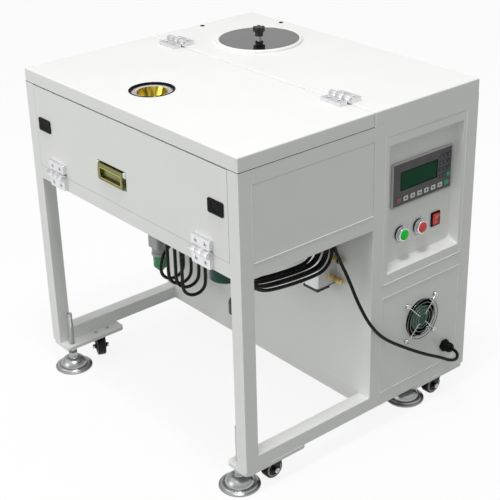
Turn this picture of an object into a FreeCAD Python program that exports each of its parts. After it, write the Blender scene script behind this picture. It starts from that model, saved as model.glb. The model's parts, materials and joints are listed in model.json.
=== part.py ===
import FreeCAD, Part
import math
import os

V = FreeCAD.Vector
X_AXIS = V(1, 0, 0)
Y_AXIS = V(0, 1, 0)
Z_AXIS = V(0, 0, 1)

# Driving dimensions in millimetres: X runs across the door, Y from front to back, Z up from the floor

# Cabinet and frame
WIDTH = 700.0
DEPTH = 620.0
HEIGHT = 712.0             # floor to the top of the lid
TUBE = 30.0                # square frame tube
TUBE_WALL = 2.0
SHEET = 2.0                # folded sheet steel
COVER_T = 28.0             # depth of the lid and of the rear cover
COVER_EDGE_R = 2.5         # rounded fold along their top edges
CABINET_DEPTH = 290.0      # control cabinet behind the process table
COVER_GAP = 2.0            # slot between the lid and the rear cover
DECK_TOP = 502.0           # top of the rails that carry the process deck
DECK_T = 4.0
MID_RAIL_Z = 311.0         # underside of the rail between the two side panels of the cabinet
PANEL_INSET = 0.3          # panels sit this far behind the faces of the frame
PANEL_FOLD = 12.0          # folded edge of a side panel
PANEL_EDGE_R = 2.5
LID_REST = 0.3             # buffer gap between the lid and the frame
LOUVRE_L = 90.0
LOUVRE_H = 6.0
LOUVRE_PITCH = 14.0
LOUVRE_ROWS = 7
LOUVRE_COLUMNS = 3
LOUVRE_COLUMN_PITCH = 150.0

# Feet and casters
PLATE_Z = 52.0             # underside of the foot plates
PLATE_T = 8.0
PLATE_W = 63.0
PLATE_L = 155.0
PLATE_CORNER_R = 10.0
FOOT_IN_X = 48.0           # levelling rod from the side face
FRONT_FOOT_IN_Y = 20.0     # front rods from the front face
REAR_FOOT_IN_Y = 132.0     # rear rods from the back face
ROD_R = 6.0
ROD_TOP = 138.0
SHAFT_GAP = 0.05           # radial running clearance of every pin and shaft
FOOT_R = 42.0
FOOT_RIM_H = 4.0
FOOT_BEAD_R = 34.0         # raised ring round the foot's dome
FOOT_BEAD_H = 8.5
FOOT_DOME_R = 30.0
FOOT_DOME_H = 26.0
FOOT_NECK_R = 11.0
FOOT_NECK_H = 4.0
FOOT_NUT_AF = 19.0
FOOT_NUT_H = 9.0
FLOOR_HOLE_R = 10.0        # clearance for the rear rods in the cabinet floor
CASTER_IN_X = 28.0
FRONT_CASTER_IN_Y = 104.0
REAR_CASTER_IN_Y = 53.0
WHEEL_R = 21.5
WHEEL_W = 19.0
WHEEL_OFF_FLOOR = 1.0
TRAIL = 18.0
CASTER_PLATE = 46.0
CASTER_PLATE_T = 2.0
RACE_R = 15.0
FORK_T = 2.0
KING_PIN_R = 4.0
AXLE_R = 3.0
CASTER_GAP = 0.3
CASTER_TURN = {"front_right": 0.0, "front_left": 68.0, "rear_right": 0.0, "rear_left": -35.0}

# Hinges, the same casting four times
HINGE_W = 54.0
HINGE_REACH = 28.5         # axis to the far edge of a leaf
LEAF_T = 8.0
BARREL_R = 7.5
HINGE_LIFT = 8.5           # axis above the face that the leaves lie on
HINGE_PIN_R = 3.0
KNUCKLE_GAP = 0.3
LEAF_CLEAR = 0.5           # leaf edge past the other leaf's barrel
HINGE_SCREW_R = 2.75
HINGE_SINK_R = 5.2
HINGE_SCREW_PITCH = 28.0
LID_HINGE_IN_X = 92.0      # hinge centres from the side faces
DOOR_HINGE_IN_X = 105.0

# Front door, its latches and its pull
DOOR_GAP_SIDE = 1.0
DOOR_GAP_TOP = 2.8
DOOR_GAP_BOTTOM = 1.0
DOOR_T = 20.0
PULL_X = -45.0
PULL_RISE = 58.0           # middle of the pull's pocket above the door's lower edge
POCKET_W = 100.0
POCKET_H = 42.0
POCKET_DEPTH = 11.0
PULL_W = 84.0
PULL_H = 36.0
PULL_T = 9.0
PULL_RIM = 6.0
PULL_DISH = 5.5
PULL_CORNER_R = 8.0
PULL_PROUD = 4.0           # front of the pull past the door face
PULL_PIN_R = 2.0
PULL_PIN_DROP = 5.0        # pivot below the pull's top edge
EAR_W = 7.0
EAR_PROUD = 2.5
EAR_H = 12.0
LATCH_IN_X = 33.0          # latch centres from the door's side edges
LATCH_SHARE = 0.466        # latch centres between the hinge leaf and the door's top edge
LATCH_W = 44.0
LATCH_H = 28.0
LATCH_FLANGE_T = 2.5
LATCH_CORNER_R = 4.0
LATCH_BODY_MARGIN = 4.0
LATCH_BODY_DEPTH = 26.0
LATCH_BUTTON_W = 24.0
LATCH_BUTTON_H = 14.0
LATCH_BUTTON_L = 16.0
LATCH_TRAVEL = 3.0
SLIDE_GAP = 0.3

# Heat port in the lid
PORT_X = -45.0
PORT_IN_Y = 108.0          # port centre from the front face
PORT_HOLE_R = 45.0
PORT_SINK = 4.0            # reflector rim below the top of the lid
TRIM_R = 46.5
TRIM_H = 0.8
TRIM_SLEEVE = 1.5
RING_T = 2.5
RING_CROWN = 1.5
CONE_TOP_R = 31.0
CONE_THROAT_R = 10.0
CONE_DEPTH = 38.0
CONE_WALL = 1.2
THROAT_L = 10.0
LAMP_R = 7.0
LAMP_RISE = 12.0

# Rear hatch and its star knob
HATCH_IN_X = 195.0         # hatch centre from the left face
HATCH_OFF_Y = 2.0          # hatch centre behind the middle of the cabinet
HATCH_R = 96.0
HATCH_RIM_W = 8.0
HATCH_RIM_H = 6.0
HATCH_HOLE_R = 84.0
HATCH_SPIGOT_H = 5.0
KNOB_R = 13.5
KNOB_LOBE_R = 4.6
KNOB_LOBES = 5
KNOB_H = 11.0
KNOB_HUB_R = 9.0
KNOB_HUB_H = 9.5
KNOB_STEM_R = 5.0
KNOB_STEM_H = 6.5
KNOB_PIN_R = 3.0

# Control recess on the right side
RECESS_SIDE = 9.5          # panel left at each side of the recess
RECESS_TOP = 19.0          # panel left above the recess
RECESS_BOTTOM = 21.0       # panel left below it
RECESS_DEPTH = 23.7
RECESS_DRAFT = 3.0
RECESS_SHELF_RISE = 8.0
RECESS_MOUTH_R = 4.0
RECESS_CORNER_R = 12.0
HMI_SHARE = 0.628          # height of the display on the recess floor
HMI_W = 172.0
HMI_H = 94.0
HMI_PROUD = 4.0
HMI_CORNER_R = 5.0
HMI_BODY_MARGIN = 6.0
HMI_BODY_DEPTH = 34.0
SCREEN_W = 104.0
SCREEN_H = 37.0
SCREEN_OFF_Y = -9.5        # screen, keys and pad from the middle of the display
SCREEN_OFF_Z = 5.5
SCREEN_SINK = 1.5
SCREEN_T = 0.9
KEY_RISE = 0.6
KEY_W = 12.0
KEY_H = 9.0
KEY_OFF_Z = -32.5
KEY_PITCH = 19.8
KEY_COUNT = 8
KEY_OFF_Y = 2.3
PAD_W = 8.0
PAD_H = 8.0
PAD_OFF_Y = 64.5
PAD_OFF_Z = 6.5
PAD_PITCH_Y = 11.2
PAD_PITCH_Z = 14.0
PAD_COLUMNS = 3
PAD_ROWS = 4
BUTTON_SHARE = 0.2176      # height of the buttons on the recess floor
START_OFF_Y = -45.0        # controls from the middle of the panel
STOP_OFF_Y = 8.0
COLLAR_BASE_R = 15.5
COLLAR_BASE_H = 5.0
COLLAR_R = 14.5
COLLAR_H = 13.5
CAP_R = 11.2
CAP_H = 10.0
CAP_OUT = 16.0             # front of a button cap from the recess floor
CAP_DOME = 1.6
PLUNGER_R = 5.0
PLUNGER_L = 18.0
BARREL_TAIL = 28.0
BARREL_TAIL_R = 11.0
BUTTON_TRAVEL = 4.0
ROCKER_OFF_Y = 58.0
ROCKER_W = 26.0
ROCKER_H = 31.0
ROCKER_FLANGE_T = 2.5
ROCKER_BODY_W = 21.0
ROCKER_BODY_H = 27.0
ROCKER_BODY_DEPTH = 22.0
ROCKER_WALL = 1.6
ROCKER_SWING_R = 11.6
ROCKER_TILT = 9.0          # degrees either side of level
ROCKER_PIN_R = 1.2
ROCKER_PIN_L = 1.2
ROCKER_CROWN = 4.5
ROCKER_MOUTH = 1.0         # opening beyond the swing of the rocker's ends

# Cabinet fan
FAN_SIZE = 92.0
FAN_T = 25.0
FAN_PITCH = 82.5
FAN_Z = 226.0
FAN_DUCT_R = 43.0
FAN_HUB_R = 20.0
FAN_TIP_GAP = 1.5
FAN_BLADES = 7
FAN_BLADE_T = 1.6
FAN_BLADE_CHORD = 24.0
FAN_BLADE_PITCH = 38.0
FAN_STRUT_T = 3.0
FAN_STRUT_W = 5.0
FAN_SHAFT_R = 2.0
FAN_CORNER_R = 5.0
FAN_SCREW_R = 2.2
GUARD_WIRE_R = 0.9
GUARD_RINGS = (13.0, 21.0, 29.0, 37.0, 45.0)
GUARD_STAND = 7.0
GUARD_EYE_R = 4.2

# Power lead
GLAND_OFF_Y = 78.0
GLAND_Z = 130.0
GLAND_THREAD_R = 8.0
GLAND_NUT_AF = 24.0
GLAND_NUT_H = 7.0
GLAND_OUT = 24.0
GLAND_TIP_R = 7.0
LEAD_R = 3.5
LEAD_ROUTE = (
    (389.0, 243.0, 130.0),
    (400.0, 232.0, 122.0),
    (400.0, 211.0, 125.0),
    (394.0, 184.0, 143.0),
    (387.0, 146.0, 163.0),
    (376.0, 98.0, 197.0),
    (365.0, 40.0, 244.0),
    (357.0, 7.0, 288.0),
    (339.0, -9.0, 332.0),
    (320.0, -17.0, 372.0),
    (311.0, -27.0, 402.0),
    (309.0, -38.0, 432.0),
)
COIL_MID_Y = -145.0
COIL_TOP_Z = 486.0
COIL_SIDE_Z = 435.0
COIL_PITCH = 8.5           # step from turn to turn
COIL_REACH = (104.0, 99.0, 103.0, 96.0, 101.0, 94.0, 98.0)
COIL_BOTTOM_Z = (390.0, 401.0, 393.0, 404.0, 396.0, 402.0)
COIL_TAIL = 26.0
PEG_R = 4.0
PEG_GAP = 0.3
PEG_PAST_COIL = 8.0
PEG_TIP = 14.0
PLUG_L = 34.0
PLUG_R = 17.0
PLUG_TAIL_L = 22.0
PLUG_TAIL_R = 6.5
PLUG_PIN_R = 2.4
PLUG_PIN_L = 19.0
PLUG_PIN_PITCH = 19.0

# Compressed air
FILTER_IN_X = 56.0         # filter centre from the left face
FILTER_STAND = 56.0        # filter centre from the cabinet wall
FILTER_BOTTOM_Z = 167.0
FILTER_BOWL_R = 17.0
FILTER_BOWL_H = 61.0
FILTER_BOWL_WALL = 2.5
FILTER_DRAIN_R = 9.0
FILTER_DRAIN_H = 7.0
FILTER_COLLAR_R = 19.0
FILTER_COLLAR_H = 12.0
FILTER_HEAD = 40.0
FILTER_HEAD_H = 44.0
FILTER_CAP_R = 15.0
FILTER_CAP_H = 24.0
FILTER_ARM_H = 24.0
FILTER_ARM_W = 30.0
FITTING_R = 7.0
FITTING_L = 11.0
HOSE_R = 4.0
HOSE_STAND = 71.0          # middle of the hanging loops from the cabinet wall
HOSE_TOP_Z = 367.0
HOSE_SIDE_Z = 275.0
HOSE_HALF_W = 27.0
HOSE_FIRST_RUN = 68.0      # filter centre to the first loop
HOSE_DROP_Z = 212.0        # first way down, from the filter
HOSE_STEPS = (30.0, 29.0, 24.0)
HOSE_BOTTOM_Z = (174.0, 172.0, 174.0, 163.0)
HOSE_RISE_RUN = 198.0      # filter centre to the fitting under the deck
HOSE_RISE_STAND = 57.0
HOSE_SIDE_DRIFT = 7.0
BAR_R = 5.0
BAR_PAST = 16.0
VALVE_IN_X = 98.0          # right face of the valve block from the right face of the frame
VALVE_STAND = 56.0         # front face of the valve block from the cabinet wall
VALVE_BOTTOM_Z = 319.0
VALVE_W = 40.0
VALVE_BODY_D = 33.0
VALVE_BODY_H = 93.0
VALVE_MANIFOLD_H = 80.0
VALVE_SHOE_H = 5.0
VALVE_CHAMFER = 3.0
SILENCER_R = 5.5
SILENCER_L = 28.0
SILENCER_DOME = 3.0
SILENCER_Z = (336.0, 381.0)
TANK_X = 102.0
TANK_Y = -150.0
TANK_R = 34.0
TANK_BOTTOM_Z = 327.0
TANK_DOME_H = 12.0
TANK_FLANGE_R = 42.0
TANK_FLANGE_T = 5.0

# Electronics on the cabinet floor and back
SUPPLY_SIZE = (199.0, 98.0, 42.0)
SUPPLY_IN_X = 200.0        # middle of the supply and of the controller from the right face
SUPPLY_TERMINAL = 14.0
CONTROLLER_SIZE = (150.0, 64.0, 96.0)
CONTROLLER_IN_X = 200.0
CONTROLLER_Z = 330.0
CONTROLLER_STEP = 18.0

# Places worked out from the sizes above
HALF = WIDTH / 2
FRONT = -DEPTH / 2
BACK = DEPTH / 2
CAB_FRONT = BACK - CABINET_DEPTH
COVER_Z = HEIGHT - COVER_T
SPLIT_Y = CAB_FRONT - COVER_GAP / 2
RAIL_Z = PLATE_Z + PLATE_T
RAIL_TOP = RAIL_Z + TUBE
DECK_RAIL_Z = DECK_TOP - TUBE
UPPER_RAIL_Z = COVER_Z - TUBE
MID_RAIL_TOP = MID_RAIL_Z + TUBE
INNER = HALF - TUBE
BAY_Y0 = CAB_FRONT + TUBE
BAY_Y1 = BACK - TUBE
BAY_MID_Y = (BAY_Y0 + BAY_Y1) / 2
FACE_X = HALF - PANEL_INSET
WALL_Y = CAB_FRONT + PANEL_INSET
FLOOR_X = FACE_X - RECESS_DEPTH
LID_HINGE = V(0, SPLIT_Y, HEIGHT + HINGE_LIFT)
DOOR_BOTTOM = DECK_TOP + DOOR_GAP_BOTTOM
DOOR_HINGE = V(0, FRONT - HINGE_LIFT, DECK_TOP + DOOR_GAP_BOTTOM / 2)
PORT_Y = FRONT + PORT_IN_Y
PORT_RIM = V(PORT_X, PORT_Y, HEIGHT - PORT_SINK)
HATCH_X = -HALF + HATCH_IN_X
HATCH_Y = BAY_MID_Y + HATCH_OFF_Y
LATCH_X = INNER - DOOR_GAP_SIDE - LATCH_IN_X
DOOR_TOP = COVER_Z - DOOR_GAP_TOP
DOOR_LEAF_TOP = DOOR_HINGE.z + HINGE_REACH
LATCH_Z = DOOR_LEAF_TOP + LATCH_SHARE * (DOOR_TOP - DOOR_LEAF_TOP)
PULL_Z = DOOR_BOTTOM + PULL_RISE
RECESS_W = BAY_Y1 - BAY_Y0 - 2 * RECESS_SIDE
RECESS_Z0 = MID_RAIL_TOP + RECESS_BOTTOM
RECESS_Z1 = UPPER_RAIL_Z - RECESS_TOP
RECESS_FLOOR_Z = RECESS_Z0 + RECESS_SHELF_RISE
RECESS_FLOOR_H = RECESS_Z1 - RECESS_DRAFT - RECESS_FLOOR_Z
HMI_Y = BAY_MID_Y + (RECESS_W - 2 * RECESS_DRAFT - HMI_W) / 3
HMI_Z = RECESS_FLOOR_Z + RECESS_FLOOR_H * HMI_SHARE
SCREEN_Y = HMI_Y + SCREEN_OFF_Y
SCREEN_Z = HMI_Z + SCREEN_OFF_Z
KEY_MID_Y = HMI_Y + KEY_OFF_Y
KEY_Z = HMI_Z + KEY_OFF_Z
PAD_Y = HMI_Y + PAD_OFF_Y
PAD_Z = HMI_Z + PAD_OFF_Z
BUTTON_Z = RECESS_FLOOR_Z + RECESS_FLOOR_H * BUTTON_SHARE
START_Y = BAY_MID_Y + START_OFF_Y
STOP_Y = BAY_MID_Y + STOP_OFF_Y
ROCKER_Y = BAY_MID_Y + ROCKER_OFF_Y
GLAND_Y = BAY_MID_Y + GLAND_OFF_Y
FILTER_X = -HALF + FILTER_IN_X
FILTER_Y = WALL_Y - FILTER_STAND
HOSE_MID_Y = WALL_Y - HOSE_STAND
HOSE_FIRST_X = FILTER_X + HOSE_FIRST_RUN
HOSE_RISE_X = FILTER_X + HOSE_RISE_RUN
HOSE_RISE_Y = WALL_Y - HOSE_RISE_STAND
VALVE_X = HALF - VALVE_IN_X
VALVE_Y = WALL_Y - VALVE_STAND
SUPPLY_X = HALF - SUPPLY_IN_X
CONTROLLER_X = HALF - CONTROLLER_IN_X
SIDES = {"left": -1, "right": 1}


def box(x0, x1, y0, y1, z0, z1):
    return Part.makeBox(x1 - x0, y1 - y0, z1 - z0, V(x0, y0, z0))


def rod(start, end, radius):
    run = end - start
    return Part.makeCylinder(radius, run.Length, start, run)


def joined(shapes):
    return shapes[0].fuse(list(shapes[1:])).removeSplitter()


def soft_box(x0, x1, y0, y1, z0, z1, radius, axis):
    """A box whose four edges along one axis are rounded."""
    block = box(x0, x1, y0, y1, z0, z1)
    edges = []
    for edge in block.Edges:
        run = edge.lastVertex().Point - edge.firstVertex().Point
        if abs(run.normalize().dot(axis)) > 0.99:
            edges.append(edge)
    return block.makeFillet(radius, edges)


def prism(sides, across_flats, start, direction, length):
    """A regular prism, such as a hexagon nut."""
    radius = across_flats / 2 / math.cos(math.pi / sides)
    corners = []
    for i in range(sides + 1):
        turn = 2 * math.pi * (i + 0.5) / sides
        corners.append(V(radius * math.cos(turn), radius * math.sin(turn), 0))
    solid = Part.Face(Part.makePolygon(corners)).extrude(V(0, 0, length))
    solid.Placement = FreeCAD.Placement(start, FreeCAD.Rotation(Z_AXIS, direction))
    return solid


def outline(start, *steps):
    """Closed wire in the XZ plane: a step is a point, or a mid point and an end point of an arc."""
    here = V(start[0], 0, start[1])
    first = here
    edges = []
    for step in steps + (start,):
        if isinstance(step[0], tuple):
            middle, end = (V(p[0], 0, p[1]) for p in step)
            edges.append(Part.Arc(here, middle, end).toShape())
        else:
            end = V(step[0], 0, step[1])
            if end.distanceToPoint(here) < 1e-6:
                continue
            edges.append(Part.LineSegment(here, end).toShape())
        here = end
    if here.distanceToPoint(first) > 1e-6:
        edges.append(Part.LineSegment(here, first).toShape())
    return Part.Wire(edges)


def cap_mid(radius, rise):
    """Distance from the axis and from the pole, half way along a spherical cap's outline."""
    ball = (radius ** 2 + rise ** 2) / (2 * rise)
    turn = math.asin(min(1.0, radius / ball)) / 2
    return ball * math.sin(turn), ball * (1 - math.cos(turn))


def turned(wire, place=V(0, 0, 0), axis=Z_AXIS):
    """Revolve an outline about its Z axis, then stand that axis at a place."""
    solid = Part.Face(wire).revolve(V(0, 0, 0), Z_AXIS, 360)
    solid.Placement = FreeCAD.Placement(place, FreeCAD.Rotation(Z_AXIS, axis))
    return solid


def round_rect(x, y0, y1, z0, z1, radius):
    """Rounded rectangle as a wire in the plane of one X."""
    slant = radius * (1 - math.sqrt(0.5))
    edges = []
    corners = ((y1, z0, -1, 1), (y1, z1, -1, -1), (y0, z1, 1, -1), (y0, z0, 1, 1))
    last = V(x, y0 + radius, z0)
    for i, (y, z, sy, sz) in enumerate(corners):
        flat, upright = V(x, y + sy * radius, z), V(x, y, z + sz * radius)
        begin, end = (flat, upright) if i % 2 == 0 else (upright, flat)
        edges.append(Part.LineSegment(last, begin).toShape())
        edges.append(Part.Arc(begin, V(x, y + sy * slant, z + sz * slant), end).toShape())
        last = end
    return Part.Wire(edges)


def square_tube(x0, x1, y0, y1, z0, z1, axis):
    """Square tube, open at both ends of its axis."""
    along = [abs(axis.x), abs(axis.y), abs(axis.z)]
    trim = [TUBE_WALL * (1 - a) for a in along]
    bore = box(x0 + trim[0], x1 - trim[0], y0 + trim[1], y1 - trim[1], z0 + trim[2], z1 - trim[2])
    return box(x0, x1, y0, y1, z0, z1).cut(bore)


def frame_posts():
    posts = []
    for side in SIDES.values():
        x0 = side * HALF - (TUBE if side > 0 else 0)
        for y0 in (FRONT, CAB_FRONT, BACK - TUBE):
            posts.append(square_tube(x0, x0 + TUBE, y0, y0 + TUBE, RAIL_Z, COVER_Z, Z_AXIS))
    return Part.makeCompound(posts)


def frame_rails():
    rails = []
    front_bay = (FRONT + TUBE, CAB_FRONT)
    rear_bay = (BAY_Y0, BAY_Y1)
    side_rails = (
        (front_bay, RAIL_Z), (front_bay, DECK_RAIL_Z), (front_bay, UPPER_RAIL_Z),
        (rear_bay, RAIL_Z), (rear_bay, MID_RAIL_Z), (rear_bay, UPPER_RAIL_Z),
    )
    for side in SIDES.values():
        x0 = side * HALF - (TUBE if side > 0 else 0)
        for (y0, y1), z in side_rails:
            rails.append(square_tube(x0, x0 + TUBE, y0, y1, z, z + TUBE, Y_AXIS))
    cross_rails = (
        (FRONT, DECK_RAIL_Z),
        (CAB_FRONT, RAIL_Z), (CAB_FRONT, DECK_RAIL_Z), (CAB_FRONT, UPPER_RAIL_Z),
        (BACK - TUBE, RAIL_Z), (BACK - TUBE, UPPER_RAIL_Z),
    )
    for y0, z in cross_rails:
        rails.append(square_tube(-INNER, INNER, y0, y0 + TUBE, z, z + TUBE, X_AXIS))
    return Part.makeCompound(rails)


def foot_places():
    """Corner name, X sign and Y of each levelling rod and of each caster's pivot."""
    places = {}
    for name, side in SIDES.items():
        places["front_" + name] = (side, FRONT + FRONT_FOOT_IN_Y, FRONT + FRONT_CASTER_IN_Y)
        places["rear_" + name] = (side, BACK - REAR_FOOT_IN_Y, BACK - REAR_CASTER_IN_Y)
    return places


def foot_plates():
    plates = []
    for name, (side, rod_y, _) in foot_places().items():
        x0 = min(side * HALF, side * (HALF - PLATE_W))
        y0 = FRONT if name.startswith("front") else BACK - PLATE_L
        plate = soft_box(x0, x0 + PLATE_W, y0, y0 + PLATE_L, PLATE_Z, RAIL_Z, PLATE_CORNER_R, Z_AXIS)
        hole = V(side * (HALF - FOOT_IN_X), rod_y, PLATE_Z)
        plates.append(plate.cut(rod(hole, hole + V(0, 0, PLATE_T), ROD_R + SHAFT_GAP)))
    return Part.makeCompound(plates)


def levelling_foot(name):
    """Rubber-soled chromed foot with its hexagon and threaded rod, in one solid each."""
    side, rod_y, _ = foot_places()[name]
    place = V(side * (HALF - FOOT_IN_X), rod_y, 0)
    neck_top = FOOT_DOME_H + FOOT_NECK_H
    bead = FOOT_BEAD_H * 0.8
    waist = (FOOT_DOME_R + FOOT_NECK_R) / 2
    dome = outline(
        (0, 0), (FOOT_R - 2, 0), (FOOT_R, 2), (FOOT_R, FOOT_RIM_H),
        (FOOT_R - 1.5, FOOT_RIM_H + 1.2), (FOOT_BEAD_R + 2.5, bead),
        ((FOOT_BEAD_R, FOOT_BEAD_H), (FOOT_BEAD_R - 2.5, bead)), (FOOT_DOME_R, bead),
        ((waist + 3.5, FOOT_DOME_H * 0.78), (FOOT_NECK_R, FOOT_DOME_H)),
        (FOOT_NECK_R, neck_top), (0, neck_top),
    )
    nut_z = place + V(0, 0, neck_top)
    nut = prism(6, FOOT_NUT_AF, nut_z, Z_AXIS, FOOT_NUT_H)
    stem = rod(nut_z + V(0, 0, FOOT_NUT_H), place + V(0, 0, ROD_TOP), ROD_R)
    return Part.makeCompound([turned(dome, place), nut, stem])


def caster_levels():
    """Heights of the axle, of the fork's underside and of its top face."""
    axle_z = WHEEL_OFF_FLOOR + WHEEL_R
    fork_z = axle_z + WHEEL_R + CASTER_GAP * 5
    return axle_z, fork_z, fork_z + FORK_T


def caster_place(name):
    side, _, y = foot_places()[name]
    return V(side * (HALF - CASTER_IN_X), y, 0)


def set_caster(shape, name):
    """Turn a caster piece from its drawn direction and stand it under its plate."""
    shape.rotate(V(0, 0, 0), Z_AXIS, CASTER_TURN[name])
    shape.translate(caster_place(name))
    return shape


def caster_swivel_plates():
    _, fork_z, fork_top = caster_levels()
    plates = []
    for name in foot_places():
        half = CASTER_PLATE / 2
        plate = soft_box(-half, half, -half, half, PLATE_Z - CASTER_PLATE_T, PLATE_Z, 4, Z_AXIS)
        race = rod(V(0, 0, fork_top + CASTER_GAP), V(0, 0, PLATE_Z - CASTER_PLATE_T), RACE_R)
        pin = rod(V(0, 0, fork_z - CASTER_GAP), V(0, 0, fork_top + CASTER_GAP), KING_PIN_R)
        plate = joined([plate, race, pin])
        plate.translate(caster_place(name))
        plates.append(plate)
    return Part.makeCompound(plates)


def caster_fork(name):
    """Pressed fork with two cheeks and the wheel's axle."""
    axle_z, fork_z, fork_top = caster_levels()
    inside = WHEEL_W / 2 + CASTER_GAP * 2
    outside = inside + FORK_T
    crown = Part.makeCylinder(RACE_R, FORK_T, V(0, 0, fork_z))
    bridge = box(-outside, outside, -TRAIL, RACE_R * 0.5, fork_z, fork_top)
    pieces = [crown, bridge]
    for side in (-1, 1):
        x0 = side * inside if side > 0 else -outside
        cheek = Part.Face(Part.makePolygon([
            V(x0, -TRAIL - 8, axle_z), V(x0, -TRAIL + 8, axle_z),
            V(x0, RACE_R * 0.5, fork_top), V(x0, -TRAIL, fork_top), V(x0, -TRAIL - 8, axle_z),
        ])).extrude(V(FORK_T, 0, 0))
        pieces.append(cheek)
        pieces.append(rod(V(x0, -TRAIL, axle_z), V(x0 + FORK_T, -TRAIL, axle_z), 8))
        x_end = side * (outside + 3)
        pieces.append(rod(V(side * outside, -TRAIL, axle_z), V(x_end, -TRAIL, axle_z), 5))
    pieces.append(rod(V(-outside, -TRAIL, axle_z), V(outside, -TRAIL, axle_z), AXLE_R))
    king_hole = rod(V(0, 0, fork_z - 1), V(0, 0, fork_top + 1), KING_PIN_R + SHAFT_GAP)
    return set_caster(joined(pieces).cut(king_hole), name)


def caster_wheel(name):
    axle_z, _, _ = caster_levels()
    half = WHEEL_W / 2
    bore = AXLE_R + SHAFT_GAP
    tread = outline(
        (bore, -half), (8, -half), (9, -half + 1.5), (13, -half + 1.5), (14, -half),
        (WHEEL_R - 3, -half), ((WHEEL_R - 0.9, -half + 0.9), (WHEEL_R, -half + 3)),
        (WHEEL_R, half - 3), ((WHEEL_R - 0.9, half - 0.9), (WHEEL_R - 3, half)),
        (14, half), (13, half - 1.5), (9, half - 1.5), (8, half), (bore, half),
    )
    return set_caster(turned(tread, V(0, -TRAIL, axle_z), X_AXIS), name)


def hinge_leaf(middle):
    """One leaf about the X axis, reaching to +Y: the moving one holds the middle knuckle."""
    half = HINGE_W / 2
    third = HINGE_W / 6
    spans = [(-third, third)] if middle else [(-half, -third - KNUCKLE_GAP), (third + KNUCKLE_GAP, half)]
    edge = BARREL_R + LEAF_CLEAR
    leaf = soft_box(-half, half, edge, HINGE_REACH, -HINGE_LIFT, LEAF_T - HINGE_LIFT, 2, Z_AXIS)
    pieces = [leaf]
    for x0, x1 in spans:
        pieces.append(rod(V(x0, 0, 0), V(x1, 0, 0), BARREL_R))
        pieces.append(box(x0, x1, 0, edge + 2.5, -HINGE_LIFT, LEAF_T - HINGE_LIFT))
    solid = joined(pieces)
    screw_y = (edge + HINGE_REACH) / 2
    top = LEAF_T - HINGE_LIFT
    for x in (-HINGE_SCREW_PITCH / 2, HINGE_SCREW_PITCH / 2):
        hole = rod(V(x, screw_y, -HINGE_LIFT), V(x, screw_y, top), HINGE_SCREW_R)
        sink_depth = HINGE_SINK_R - HINGE_SCREW_R
        sink = Part.makeCone(HINGE_SCREW_R, HINGE_SINK_R, sink_depth, V(x, screw_y, top - sink_depth))
        solid = solid.cut(hole.fuse(sink))
    bore = rod(V(-half - 1, 0, 0), V(half + 1, 0, 0), HINGE_PIN_R + (SHAFT_GAP if middle else 0))
    solid = solid.cut(bore)
    if not middle:
        solid = joined([solid, rod(V(-half, 0, 0), V(half, 0, 0), HINGE_PIN_R)])
    return solid


def set_hinge(leaf, kind, middle, x):
    """Stand a leaf at the lid's or the door's hinge line."""
    if kind == "lid":
        turn = FreeCAD.Rotation(Z_AXIS, 180) if middle else FreeCAD.Rotation()
        spot = LID_HINGE
    else:
        turn = FreeCAD.Rotation(V(0, 1, -1), 180)
        if middle:
            turn = turn.multiply(FreeCAD.Rotation(Z_AXIS, 180))
        spot = DOOR_HINGE
    leaf.Placement = FreeCAD.Placement(spot + V(x, 0, 0), turn)
    return leaf


def hinge_leaves(kinds, middle):
    leaves = []
    for kind in kinds:
        inset = LID_HINGE_IN_X if kind == "lid" else DOOR_HINGE_IN_X
        for side in SIDES.values():
            leaves.append(set_hinge(hinge_leaf(middle), kind, middle, side * (HALF - inset)))
    return Part.makeCompound(leaves)


def folded_cover(y0, y1, z0):
    """Shallow tray of folded sheet, open below, with rounded top edges."""
    block = box(-HALF, HALF, y0, y1, z0, HEIGHT)
    edges = [e for e in block.Edges if e.BoundBox.ZMin > HEIGHT - 0.01 or e.BoundBox.ZLength > 1]
    block = block.makeFillet(COVER_EDGE_R, edges)
    hollow = box(-HALF + SHEET, HALF - SHEET, y0 + SHEET, y1 - SHEET, z0, HEIGHT - SHEET)
    return block.cut(hollow)


def top_lid():
    lid = folded_cover(FRONT, SPLIT_Y - COVER_GAP / 2, COVER_Z + LID_REST)
    port = rod(V(PORT_X, PORT_Y, COVER_Z), V(PORT_X, PORT_Y, HEIGHT), PORT_HOLE_R)
    return lid.cut(port)


def rear_top_cover():
    cover = folded_cover(SPLIT_Y + COVER_GAP / 2, BACK, COVER_Z)
    port = rod(V(HATCH_X, HATCH_Y, COVER_Z), V(HATCH_X, HATCH_Y, HEIGHT), HATCH_HOLE_R)
    return cover.cut(port)


def folded_panel(side, y0, y1, z0, z1):
    """Side panel with rounded outer edges folded back into the frame, open behind."""
    outer, inner = side * FACE_X, side * (FACE_X - PANEL_FOLD)
    block = box(min(outer, inner), max(outer, inner), y0, y1, z0, z1)
    rims = [e for e in block.Edges if abs(e.CenterOfMass.x - outer) < 0.01]
    block = block.makeFillet(PANEL_EDGE_R, rims)
    back = side * (FACE_X - SHEET)
    return block.cut(box(min(back, inner), max(back, inner), y0 + SHEET, y1 - SHEET, z0 + SHEET, z1 - SHEET))


def side_panels():
    panels = []
    rows = (
        (FRONT + TUBE, CAB_FRONT, DECK_TOP, UPPER_RAIL_Z, ("left", "right")),
        (BAY_Y0, BAY_Y1, MID_RAIL_TOP, UPPER_RAIL_Z, ("left",)),
        (BAY_Y0, BAY_Y1, RAIL_TOP, MID_RAIL_Z, ("left",)),
    )
    for y0, y1, z0, z1, sides in rows:
        for name in sides:
            panels.append(folded_panel(SIDES[name], y0, y1, z0, z1))
    return Part.makeCompound(panels)


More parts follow.
